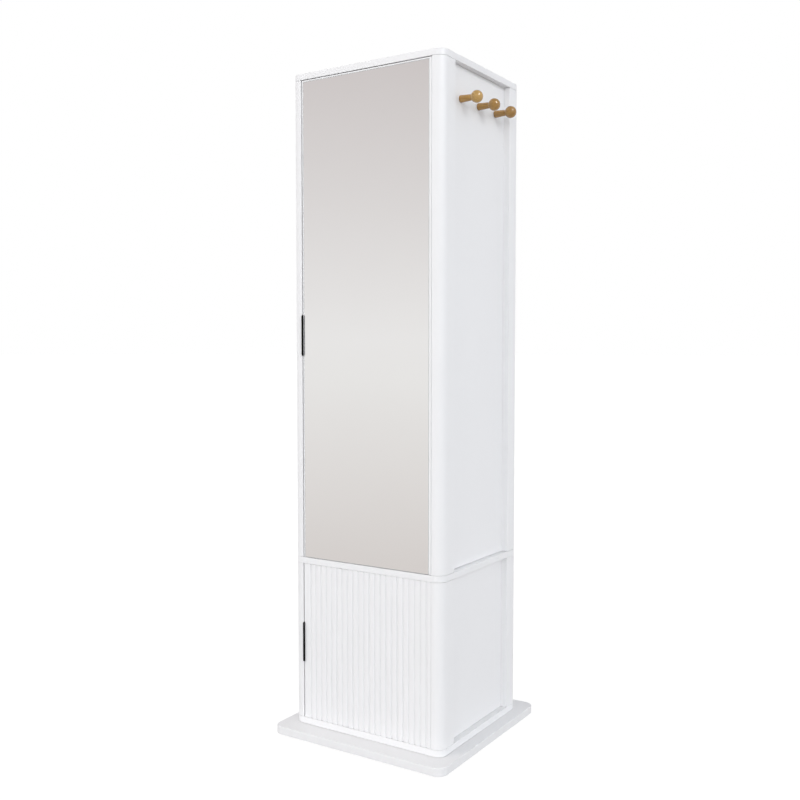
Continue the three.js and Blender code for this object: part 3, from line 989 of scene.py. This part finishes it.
def model_post(node):
    """A corner post: square to the inside, round at the cabinet's corner."""
    low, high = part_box(node)
    corner_x = low.x if low.x + high.x < 0 else high.x
    corner_y = low.y if low.y + high.y < 0 else high.y
    low.z += shape().joint
    high.z -= shape().joint
    post = block(finished_name(node), low, high)
    outer = edges("z", x=corner_x, y=corner_y)
    round_edges(post, shape().board_corner, shape().corner_steps, outer)
    ease_edges(post, shape().board_edge)
    return post


def model_panel(node, peg_nodes=()):
    """A flat panel between the posts, with a hole for each peg's tenon."""
    low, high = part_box(node)
    low.z += shape().panel_gap
    panel = block(finished_name(node), low, high)
    outward = Vector((1 if low.x > 0 else -1, 0, 0))
    face_x = high.x if low.x > 0 else low.x
    radius = shape().peg_tenon + shape().seam
    depth = shape().peg_tenon_length + shape().seam
    for peg_node in peg_nodes:
        middle = middle_of(peg_node)
        drill(panel, Vector((face_x, middle.y, middle.z)), outward, radius, depth)
    ease_edges(panel, shape().panel_edge, 2)
    return panel


def drill_hinge_bores(panel, back_y, cup_nodes):
    """Bores the blind holes in a door's back that its hinge cups sit in."""
    radius = shape().cup_radius + shape().seam
    depth = shape().cup_depth + shape().seam
    for node in cup_nodes:
        low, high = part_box(node)
        mouth = Vector((low.x + shape().cup_radius, back_y, (low.z + high.z) / 2))
        drill(panel, mouth, BACKWARDS, radius, depth)


def mirror_door_box():
    """Where the mirror door lies: its gaps are finer than the frame's, and wider over it."""
    low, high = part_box("upper_door_panel")
    high.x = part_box("upper_post_front_right")[0].x - shape().close_gap
    low.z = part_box("mid_board")[1].z + shape().under_gap
    high.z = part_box("top_board")[0].z - shape().top_gap
    return low, high


def glass_box():
    """Where the mirror lies: with the frame's margins above and below, and closer to the pull."""
    frame_low, frame_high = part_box("upper_door_panel")
    door_low, door_high = mirror_door_box()
    low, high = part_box("mirror_glass")
    low.x -= shape().mirror_reach
    low.z += door_low.z - frame_low.z
    high.z += door_high.z - frame_high.z
    return low, high


def model_upper_door():
    """The mirror door's panel with its pocket for the glass and its hinge bores."""
    low, high = mirror_door_box()
    glass_low, glass_high = glass_box()
    panel = block(finished_name("upper_door_panel"), low, high)
    seam, pocket = shape().seam, shape().mirror_pocket
    pocket_low = (glass_low.x - seam, low.y - OVERRUN, low.z - OVERRUN)
    pocket_high = (glass_high.x + seam, low.y + pocket, glass_high.z + seam)
    cut_out(panel, block("pocket", pocket_low, pocket_high))
    drill_hinge_bores(panel, high.y, UPPER_CUPS)
    ease_edges(panel, shape().door_edge)
    return panel


def model_mirror():
    """The mirror: a sheet of glass with a polished slope round its face."""
    low, high = glass_box()
    glass = block(finished_name("mirror_glass"), low, high)
    round_edges(glass, shape().glass_arris, 1, edges(y=low.y))
    smooth(glass)
    return glass


def model_lower_door():
    """The fluted door: upright hollows cut into its face, with softened shoulders."""
    low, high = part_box("lower_door_panel")
    last = high.x - shape().flute_margin_hinge
    high.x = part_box("lower_post_front_right")[0].x - shape().fine_gap
    low.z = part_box("bottom_board")[1].z + shape().fine_gap
    high.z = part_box("mid_board")[0].z - shape().fine_gap
    panel = block(finished_name("lower_door_panel"), low, high)
    width, depth, flutes = shape().flute_width, shape().flute_depth, shape().flute_count
    radius = (width**2 / 4 + depth**2) / (2 * depth)
    first = low.x + shape().flute_margin_pull
    centre = Vector((first, low.y + depth - radius, (low.z + high.z) / 2))
    length = high.z - low.z + 2 * OVERRUN
    deselect()
    bpy.ops.mesh.primitive_cylinder_add(
        vertices=shape().flute_sides, radius=radius, depth=length, location=centre
    )
    cutter = added("flutes")
    row = cutter.modifiers.new("Row", "ARRAY")
    row.count = flutes
    row.use_relative_offset = False
    row.use_constant_offset = True
    row.constant_offset_displace = ((last - first) / (flutes - 1), 0, 0)
    bpy.ops.object.modifier_apply(modifier=row.name)
    cut_out(panel, cutter)
    drill_hinge_bores(panel, high.y, LOWER_CUPS)
    ease_edges(panel, shape().door_edge)
    return panel


def model_pull(node):
    """An edge pull bent from sheet: a web in the door's gap, a lip in front and a flange behind."""
    low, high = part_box(node)
    sheet = shape().pull_sheet
    lip_back = low.y + shape().pull_reach - shape().seam
    flange_front = high.y - sheet
    pull = block(finished_name(node), low, (low.x + sheet, high.y, high.z))
    score_across(pull, lip_back, flange_front)
    extrude_right(pull, shape().pull_lip - sheet, lambda middle: middle.y < lip_back)
    extrude_right(pull, high.x - low.x - sheet, lambda middle: middle.y > flange_front)
    round_edges(pull, shape().pull_end, 5, edges("x", y=low.y))
    ease_edges(pull, METAL_EDGE)
    return pull


def peg_outline(length):
    """Half of a peg's outline from its tenon to the pole of its ball."""
    sizes = shape()
    root, neck, fillet, ball = sizes.peg_root, sizes.peg_neck, sizes.peg_fillet, sizes.peg_ball
    ball_height = length - ball
    rise = sqrt((ball + fillet) ** 2 - (neck + fillet) ** 2)
    slope = atan2(rise, neck + fillet)
    root_edge = root / 8
    return [
        (sizes.peg_tenon, -sizes.peg_tenon_length),
        (sizes.peg_tenon, sizes.seam),
        *arc((root - root_edge, sizes.seam + root_edge), root_edge, -pi / 2, 0, 4),
        *arc((neck + fillet, ball_height - rise), fillet, pi, pi - slope, 5),
        *arc((0, ball_height), ball, -slope, pi / 2, 18)[1:-1],
        (0, length),
    ]


def model_peg(length):
    """A turned coat peg along +Z with its shoulder at the origin."""
    peg = lathe("peg", peg_outline(length))
    smooth(peg)
    return peg


def model_screw():
    """A pan-head screw along +Z with its head on the origin and a cross in it.

    Its outline and its cross are shares of its head's radius and height.
    """
    radius, height = shape().screw_radius, shape().screw_height
    crown = radius * 0.8
    outline = [(radius, 0), (radius, height * 0.45), (crown, height), (crown * 0.4, height * 1.06)]
    screw = lathe("screw", outline)
    half_length, half_width = radius * 0.62, radius * 0.12
    floor = height * 0.4
    for reach_x, reach_y in ((half_length, half_width), (half_width, half_length)):
        top = (reach_x, reach_y, height + OVERRUN)
        cut_out(screw, block("slot", (-reach_x, -reach_y, floor), top))
    ease_edges(screw, radius * 0.03, 2)
    return screw


def model_hinge_cup(node, screw):
    """The door's half of a hinge: a pressed cup, its flange, two screws and the crank in it."""
    low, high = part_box(node)
    sizes = shape()
    radius, depth, sheet = sizes.cup_radius, sizes.cup_depth, sizes.cup_sheet
    centre = Vector((low.x + radius, low.y + depth, (low.z + high.z) / 2))
    inner, rim = radius - sheet, sizes.seam + sheet
    outline = [
        (radius - 2 * sheet, -depth),
        (radius, 2 * sheet - depth),
        (radius, rim),
        (inner, rim),
        (inner, 2 * sheet - depth),
        (inner - sheet, sheet - depth),
        (inner / 4, sheet - depth),
    ]
    cup = lathe(finished_name(node), outline)
    ease_edges(cup, SHEET_EDGE, 2)
    set_in_place(cup, centre, TOWARDS_BACK)
    half_length = (high.z - low.z) / 2
    flange_reach = Vector((sizes.cup_flange_width / 2, 0, half_length))
    flange_low = centre - flange_reach + BACKWARDS * sizes.seam
    mouth = centre + BACKWARDS * rim
    flange = block("flange", flange_low, mouth + flange_reach)
    round_edges(flange, FLANGE_CORNER, 5, edges("y"))
    drill(flange, mouth, BACKWARDS, inner + sheet / 2, 2 * rim)
    ease_edges(flange, SHEET_EDGE, 2)
    pieces = [cup, flange, *model_crank(centre, inner, high.y)]
    for side in (-1, 1):
        place = mouth + Vector((0, 0, side * (half_length - SCREW_INSET)))
        pieces.append(copy_at(screw, "screw", place, TOWARDS_BACK))
    return join(pieces)


def model_crank(centre, inner, top_y):
    """The crank that stands out of a hinge's cup and reaches towards the arm, with its pin."""
    sizes = shape()
    half_thick, half_wide = sizes.crank_thickness / 2, sizes.crank_width / 2
    pin_y = centre.y - sizes.cup_depth / 2 + PIN_LIFT
    foot = block(
        "crank",
        (centre.x - half_thick, pin_y - PIN_RADIUS, centre.z - half_wide),
        (centre.x + half_thick, top_y, centre.z + half_wide),
    )
    head_level = top_y - sizes.crank_thickness
    score_across(foot, head_level)
    extrude_right(foot, sizes.crank_head - half_thick, lambda middle: middle.y > head_level)
    ease_edges(foot, CRANK_EDGE)
    end, slope = inner + sizes.cup_sheet / 2, PIN_SLOPE
    outline = [(PIN_RADIUS - slope, -end), (PIN_RADIUS, slope - end), (PIN_RADIUS, end)]
    pin = lathe("pin", outline)
    smooth(pin)
    return [foot, set_in_place(pin, (centre.x, pin_y, centre.z))]


def model_hinge_arm(node, screw):
    """The cabinet's half of a hinge: a plate on the post, a channelled arm and its screws."""
    low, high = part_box(node)
    sizes = shape()
    middle = (low + high) / 2
    plate_x, half_plate = high.x - sizes.arm_plate, sizes.arm_plate_width / 2
    plate = block(
        finished_name(node),
        (plate_x, middle.y - half_plate, low.z),
        (high.x, middle.y + half_plate, high.z),
    )
    round_edges(plate, PLATE_CORNER, 5, edges("x"))
    ease_edges(plate, METAL_EDGE, 2)
    arm = block(
        "arm",
        (low.x, low.y, middle.z - sizes.arm_width / 2),
        (high.x - sizes.arm_plate / 2, high.y, middle.z + sizes.arm_width / 2),
    )
    round_edges(arm, ARM_CORNER, 4, edges("y", x=low.x))
    sink_faces(arm, CHANNEL_WALL, CHANNEL_DEPTH, lambda place, normal: normal.x < -FACING)
    ease_edges(arm, METAL_EDGE, 2)
    pieces = [plate, arm]
    for side in (-1, 1):
        inset = side * (high.z - middle.z - SCREW_INSET)
        on_plate = (plate_x, middle.y, middle.z + inset)
        on_arm = (low.x + CHANNEL_DEPTH, middle.y + side * ARM_SCREW_REACH, middle.z)
        for place in (on_plate, on_arm):
            pieces.append(copy_at(screw, "screw", place, towards_side(-1)))
    return join(pieces)


def model_socket(node, screw):
    """A rail socket: a flange with two screws and a collar round the rail's end."""
    low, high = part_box(node)
    flange, collar = shape().socket_flange, shape().socket_collar
    inward = -1 if low.x > 0 else 1
    wall_x = high.x if inward < 0 else low.x
    middle = (low + high) / 2
    flange_radius, reach = (high.z - low.z) / 2, high.x - low.x
    collar_inner = collar - COLLAR_WALL
    outline = [
        (flange_radius, 0),
        (flange_radius, flange),
        (collar, flange),
        (collar, reach),
        (collar_inner, reach),
        (collar_inner, flange),
        (collar_inner / 3, flange),
    ]
    turn = towards_side(inward)
    socket = lathe(finished_name(node), outline)
    ease_edges(socket, COLLAR_EDGE)
    pieces = [set_in_place(socket, (wall_x, middle.y, middle.z), turn)]
    ring_radius = (flange_radius + collar) / 2
    for side in (-1, 1):
        place = (wall_x + inward * flange, middle.y, middle.z + side * ring_radius)
        pieces.append(copy_at(screw, "screw", place, turn))
    return join(pieces)


def model_rail(node):
    """The hanging rail: a plated steel tube."""
    low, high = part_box(node)
    radius = (high.z - low.z) / 2
    half, bore = (high.x - low.x) / 2, radius - shape().rail_wall
    outline = [(radius, -half), (radius, half), (bore, half), (bore, -half), (radius, -half)]
    tube = lathe(finished_name(node), outline, ring=True)
    ease_edges(tube, METAL_EDGE, 2)
    return set_in_place(tube, (low + high) / 2, towards_side(1))


def model_shelf(node):
    """The loose shelf with a rounded front."""
    low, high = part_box(node)
    shelf = block(finished_name(node), low, high)
    round_edges(shelf, shape().shelf_nosing, 4, edges("x", y=low.y))
    ease_edges(shelf, shape().board_edge)
    return shelf


def model_shelf_pin(node):
    """A shelf pin: a plain rod with a groove and a rounded nose towards the bay.

    The places along it are shares of its length.
    """
    low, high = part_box(node)
    radius, length = (high.z - low.z) / 2, high.x - low.x
    nose = radius * 0.5
    outline = [
        (radius, 0),
        (radius, length * 0.44),
        (radius * 0.86, length * 0.47),
        (radius, length * 0.5),
        (radius, length - nose),
        *arc((nose, length - nose), nose, 0, pi / 2, 4),
    ]
    pin = lathe(finished_name(node), outline)
    smooth(pin)
    inward = -1 if low.x > 0 else 1
    start_x = high.x if inward < 0 else low.x
    place = (start_x, (low.y + high.y) / 2, (low.z + high.z) / 2)
    return set_in_place(pin, place, towards_side(inward))


def model_catch(node):
    """A catch's moulded body, open at the front for its two steel poles."""
    low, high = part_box(node)
    middle = (low + high) / 2
    body = block(finished_name(node), low, high)
    sink_faces(body, CATCH_WALL, CATCH_MOUTH, lambda place, normal: normal.y < -FACING)
    ease_edges(body, CATCH_EDGE)
    poles = []
    for side in (-1, 1):
        x = middle.x + side * POLE_SPREAD
        pole = block(
            f"{node}_pole",
            (x - POLE_HALF_THICKNESS, low.y + POLE_FRONT, middle.z - POLE_HALF_LENGTH),
            (x + POLE_HALF_THICKNESS, low.y + POLE_BACK, middle.z + POLE_HALF_LENGTH),
        )
        ease_edges(pole, POLE_EDGE, 2)
        poles.append(pole)
    return body, join(poles)


def model_strike(node, screw):
    """The steel plate that a catch holds, with a screw sunk in it."""
    low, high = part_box(node)
    plate = block(finished_name(node), low, high)
    mouth = Vector(((low.x + high.x) / 2, high.y, (low.z + high.z) / 2))
    round_edges(plate, STRIKE_CORNER, 4, edges("y"))
    drill(plate, mouth, BACKWARDS, shape().screw_radius + STRIKE_PLAY, STRIKE_HOLE)
    ease_edges(plate, SHEET_EDGE, 2)
    sunk = mouth - BACKWARDS * STRIKE_SINK
    return join([plate, copy_at(screw, "screw", sunk, TOWARDS_BACK)])


def model_foot_pad(node):
    """A felt pad with a soft lower edge, up to the base plate's underside."""
    low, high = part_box(node)
    radius, height = (high.x - low.x) / 2, base_plate_box()[0].z - low.z
    edge = height * 0.4
    outline = [*arc((radius - edge, edge), edge, -pi / 2, 0, 4), (radius, height)]
    pad = lathe(finished_name(node), outline)
    smooth(pad)
    return set_in_place(pad, ((low.x + high.x) / 2, (low.y + high.y) / 2, low.z))


def finish_each(nodes, model, slot, *patterns):
    """Models a piece for each of these parts of the frame and lets it stand for the part."""
    for node in nodes:
        stand_for(model(node, *patterns), node, slot)


# The stage


def add_soft_light(name, place, target, size, power, colour=(1, 1, 1), seen_in=("light", "gloss")):
    """A square soft box that faces a point and gives light, shows in gloss, or both."""
    deselect()
    bpy.ops.object.light_add(type="AREA", location=place)
    light = bpy.context.object
    light.name = name
    light.data.size = size
    light.data.energy = power
    light.data.color = colour
    light.visible_diffuse = "light" in seen_in
    light.visible_glossy = "gloss" in seen_in
    direction = Vector(target) - Vector(place)
    light.rotation_euler = direction.to_track_quat("-Z", "Y").to_euler()


def light_all_round(values):
    """Even light from all round, a white background, and plain warm tones for reflections."""
    world = bpy.data.worlds.new("Pale surroundings")
    bpy.context.scene.world = world
    world.use_nodes = True
    tree = world.node_tree
    tree.nodes.clear()
    direction = tree.nodes.new("ShaderNodeTexCoord").outputs["Generated"]
    height = add_node(tree, "ShaderNodeSeparateXYZ", Vector=direction).outputs["Z"]
    ramp = tree.nodes.new("ShaderNodeValToRGB")
    feed(tree, ramp, Fac=spread(tree, height, 0.0, 1.0, -1.0, 1.0))
    stops = ramp.color_ramp.elements
    while len(stops) < len(MIRRORED_TONES):
        stops.new(1.0)
    for stop, (position, colour) in zip(stops, MIRRORED_TONES):
        stop.position = position
        stop.color = (*colour, 1)
    low = tinted(values.fill_low_colour, values.fill_low)
    high = tinted(values.fill_high_colour, values.fill_high)
    fill = blend_colours(tree, spread(tree, height, 0.0, 1.0, *FILL_CHANGE), low, high)
    even, mirrored, white = (
        add_node(tree, "ShaderNodeBackground", Color=colour, Strength=1.0).outputs[0]
        for colour in (fill, ramp.outputs["Color"], (1, 1, 1, 1))
    )
    rays = tree.nodes.new("ShaderNodeLightPath").outputs
    seen = even
    for ray, background in (("Is Glossy Ray", mirrored), ("Is Camera Ray", white)):
        mix = tree.nodes.new("ShaderNodeMixShader")
        for socket, value in zip(mix.inputs, (rays[ray], seen, background)):
            put(tree, socket, value)
        seen = mix.outputs[0]
    add_node(tree, "ShaderNodeOutputWorld", Surface=seen)


def lay_floor(values):
    """A plain pale floor, which mirrors and gloss don't show."""
    deselect()
    bpy.ops.mesh.primitive_plane_add(size=FLOOR_SIZE)
    floor = added("pale_floor")
    material, tree, shader, place = start_material(
        "Pale floor", Roughness=0.9, Specular_IOR_Level=0.1, Emission_Strength=1.0
    )
    spray = spray_on(tree, place, ripple=300.0, cloud=1.5)
    seen = tree.nodes.new("ShaderNodeLightPath").outputs["Is Camera Ray"]
    glow = (values.floor_glow,) * 3
    feed(
        tree,
        shader,
        Base_Color=two_tones(tree, spray["Cloud"], values.floor_colour, 0.99, 1.0),
        Emission_Color=blend_colours(tree, seen, values.floor_bounce, glow),
    )
    floor.data.materials.append(material)
    floor.visible_glossy = False


def set_camera(values):
    camera = bpy.data.objects.new("camera", bpy.data.cameras.new("camera"))
    bpy.context.scene.collection.objects.link(camera)
    camera.location = values.camera_place
    camera.rotation_euler = (pi / 2 - values.camera_tilt, 0, values.camera_turn)
    camera.data.sensor_width = SENSOR_WIDTH
    camera.data.lens = values.lens
    bpy.context.scene.camera = camera


# The steps of the build and their panel


class WARDROBE_OT_stage(bpy.types.Operator):
    """Sets up the camera, the pale floor and the soft light"""

    bl_idname = "wardrobe.stage"
    bl_label = "Set the stage"

    def execute(self, context):
        values = stage_values()
        set_camera(values)
        lay_floor(values)
        light_all_round(values)
        middle, right_side, pegs = (0, 0, 0.9), (0.2, 0, 1.2), (0.2, 0, 1.5)
        broad, small = 7.2, 3.6
        add_soft_light("key", (-9.0, -15.5, 16.7), middle, broad, values.key, values.key_colour)
        add_soft_light("front", (7.2, -15.4, 3.9), middle, small, values.front, seen_in=("light",))
        add_soft_light("accent", (14.6, -7.2, 8.8), right_side, small, values.accent)
        add_soft_light("highlight", (7.4, -2.2, 6.4), pegs, small, values.sheen, seen_in=("gloss",))
        context.scene.view_settings.view_transform = "Standard"
        return {"FINISHED"}


class WARDROBE_OT_base(bpy.types.Operator):
    """Models the base plate and its felt pads, and gives the bearing that the cabinet turns on its finish
    """

    bl_idname = "wardrobe.base"
    bl_label = "Base and bearing"

    def execute(self, context):
        box = base_plate_box()
        radius, edge = shape().base_corner, shape().base_edge
        plate = model_rounded_board("base_plate", box, radius, edge, pocket_height=box[1].z)
        stand_for(plate, "base_plate", "base_lacquer")
        finish_each([f"foot_pad_{corner}" for corner in CORNERS], model_foot_pad, "felt")
        for node in ("bearing_inner_ring", "bearing_outer_ring", "bearing_ball_cage"):
            dress(frame["nodes"][node], "bearing_steel")
        return {"FINISHED"}


class WARDROBE_OT_boards(bpy.types.Operator):
    """Models the bottom, middle and top boards"""

    bl_idname = "wardrobe.boards"
    bl_label = "Boards"

    def execute(self, context):
        radius, edge = shape().board_corner, shape().board_edge
        pocket_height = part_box("bottom_board")[0].z
        board = model_rounded_board("bottom_board", bottom_board_box(), radius, edge, pocket_height)
        stand_for(board, "bottom_board", "white_lacquer")
        for node in ("mid_board", "top_board"):
            board = model_rounded_board(node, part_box(node), radius, edge)
            stand_for(board, node, "white_lacquer")
        return {"FINISHED"}


class WARDROBE_OT_posts(bpy.types.Operator):
    """Models the eight corner posts"""

    bl_idname = "wardrobe.posts"
    bl_label = "Posts"

    def execute(self, context):
        nodes = [f"{bay}_post_{corner}" for bay in BAYS for corner in CORNERS]
        finish_each(nodes, model_post, "white_lacquer")
        return {"FINISHED"}


class WARDROBE_OT_panels(bpy.types.Operator):
    """Models the side and back panels"""

    bl_idname = "wardrobe.panels"
    bl_label = "Side and back panels"

    def execute(self, context):
        for bay in BAYS:
            for side in SIDES:
                node = f"{bay}_side_panel_{side}"
                holes = peg_nodes(side) if bay == "upper" else ()
                stand_for(model_panel(node, holes), node, "white_lacquer")
            node = f"{bay}_back_panel"
            stand_for(model_panel(node), node, "white_lacquer")
        return {"FINISHED"}


class WARDROBE_OT_upper_door(bpy.types.Operator):
    """Models the mirror door"""

    bl_idname = "wardrobe.upper_door"
    bl_label = "Mirror door"

    def execute(self, context):
        stand_for(model_upper_door(), "upper_door_panel", "white_lacquer")
        glass = stand_for(model_mirror(), "mirror_glass", "mirror")
        glass.data.materials.append(glass_edge_finish())
        for face in glass.data.polygons:
            face.material_index = 0 if face.normal.y < -FACING else 1
        return {"FINISHED"}


class WARDROBE_OT_lower_door(bpy.types.Operator):
    """Models the fluted door"""

    bl_idname = "wardrobe.lower_door"
    bl_label = "Fluted door"

    def execute(self, context):
        stand_for(model_lower_door(), "lower_door_panel", "white_lacquer")
        return {"FINISHED"}


class WARDROBE_OT_pulls(bpy.types.Operator):
    """Models the two black edge pulls"""

    bl_idname = "wardrobe.pulls"
    bl_label = "Edge pulls"

    def execute(self, context):
        finish_each(("upper_door_pull", "lower_door_pull"), model_pull, "black_pull")
        return {"FINISHED"}


class WARDROBE_OT_pegs(bpy.types.Operator):
    """Turns one coat peg and sets a copy in each of its places"""

    bl_idname = "wardrobe.pegs"
    bl_label = "Coat pegs"

    def execute(self, context):
        panel_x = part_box("upper_side_panel_right")[1].x
        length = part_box("coat_peg_right_front")[1].x - panel_x
        pattern = model_peg(length)
        for side, outward in (("left", -1), ("right", 1)):
            for node in peg_nodes(side):
                middle = middle_of(node)
                place = (outward * panel_x, middle.y, middle.z)
                peg = copy_at(pattern, finished_name(node), place, towards_side(outward))
                stand_for(peg, node, "beech")
        bpy.data.objects.remove(pattern)
        return {"FINISHED"}


class WARDROBE_OT_rail(bpy.types.Operator):
    """Models the hanging rail and its sockets"""

    bl_idname = "wardrobe.rail"
    bl_label = "Hanging rail"

    def execute(self, context):
        stand_for(model_rail("hanging_rail"), "hanging_rail", "nickel")
        screw = model_screw()
        finish_each([f"rail_socket_{side}" for side in SIDES], model_socket, "nickel", screw)
        bpy.data.objects.remove(screw)
        return {"FINISHED"}


class WARDROBE_OT_shelf(bpy.types.Operator):
    """Models the loose shelf and its pins"""

    bl_idname = "wardrobe.shelf"
    bl_label = "Shelf"

    def execute(self, context):
        finish_each(["lower_shelf"], model_shelf, "white_lacquer")
        finish_each([f"shelf_pin_{corner}" for corner in CORNERS], model_shelf_pin, "nickel")
        return {"FINISHED"}


class WARDROBE_OT_hinges(bpy.types.Operator):
    """Models the concealed hinges of both doors"""

    bl_idname = "wardrobe.hinges"
    bl_label = "Hinges"

    def execute(self, context):
        screw = model_screw()
        for cup_node in UPPER_CUPS + LOWER_CUPS:
            arm_node = cup_node.replace("_cup_", "_arm_")
            stand_for(model_hinge_cup(cup_node, screw), cup_node, "nickel")
            stand_for(model_hinge_arm(arm_node, screw), arm_node, "nickel")
        bpy.data.objects.remove(screw)
        return {"FINISHED"}


class WARDROBE_OT_catches(bpy.types.Operator):
    """Models the magnetic catches and the plates that they hold"""

    bl_idname = "wardrobe.catches"
    bl_label = "Catches"

    def execute(self, context):
        screw = model_screw()
        for bay in BAYS:
            catch_node, strike_node = f"{bay}_catch", f"{bay}_strike_plate"
            body, poles = model_catch(catch_node)
            stand_for(body, catch_node, "white_plastic")
            dress(poles, "nickel")
            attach(poles, "cabinet")
            stand_for(model_strike(strike_node, screw), strike_node, "nickel")
        bpy.data.objects.remove(screw)
        return {"FINISHED"}


STEPS = (
    WARDROBE_OT_stage,
    WARDROBE_OT_base,
    WARDROBE_OT_boards,
    WARDROBE_OT_posts,
    WARDROBE_OT_panels,
    WARDROBE_OT_upper_door,
    WARDROBE_OT_lower_door,
    WARDROBE_OT_pulls,
    WARDROBE_OT_pegs,
    WARDROBE_OT_rail,
    WARDROBE_OT_shelf,
    WARDROBE_OT_hinges,
    WARDROBE_OT_catches,
)


class WARDROBE_PT_panel(bpy.types.Panel):
    """The steps of the build and the values that they use"""

    bl_idname = "WARDROBE_PT_panel"
    bl_label = "Revolving Wardrobe"
    bl_space_type = "VIEW_3D"
    bl_region_type = "UI"
    bl_category = "Wardrobe"

    def draw(self, context):
        column = self.layout.column()
        for step in STEPS:
            column.operator(step.bl_idname)
        for title, values in (
            ("Shape", shape()),
            ("Finish", finish_values()),
            ("Stage", stage_values()),
        ):
            column.separator()
            column.label(text=title)
            for name in type(values).__annotations__:
                column.prop(values, name)


GROUPS = (
    ("wardrobe_shape", WardrobeShape),
    ("wardrobe_finish", WardrobeFinish),
    ("wardrobe_stage", WardrobeStage),
)


def register():
    for name, group in GROUPS:
        bpy.utils.register_class(group)
        setattr(bpy.types.Scene, name, PointerProperty(type=group))
    for item in (*STEPS, WARDROBE_PT_panel):
        bpy.utils.register_class(item)


def unregister():
    for item in (WARDROBE_PT_panel, *reversed(STEPS)):
        bpy.utils.unregister_class(item)
    for name, group in reversed(GROUPS):
        delattr(bpy.types.Scene, name)
        bpy.utils.unregister_class(group)


def main():
    register()
    bpy.ops.wardrobe.stage()
    bpy.ops.wardrobe.base()
    bpy.ops.wardrobe.boards()
    bpy.ops.wardrobe.posts()
    bpy.ops.wardrobe.panels()
    bpy.ops.wardrobe.upper_door()
    bpy.ops.wardrobe.lower_door()
    bpy.ops.wardrobe.pulls()
    bpy.ops.wardrobe.pegs()
    bpy.ops.wardrobe.rail()
    bpy.ops.wardrobe.shelf()
    bpy.ops.wardrobe.hinges()
    bpy.ops.wardrobe.catches()


if __name__ == "__main__":
    main()
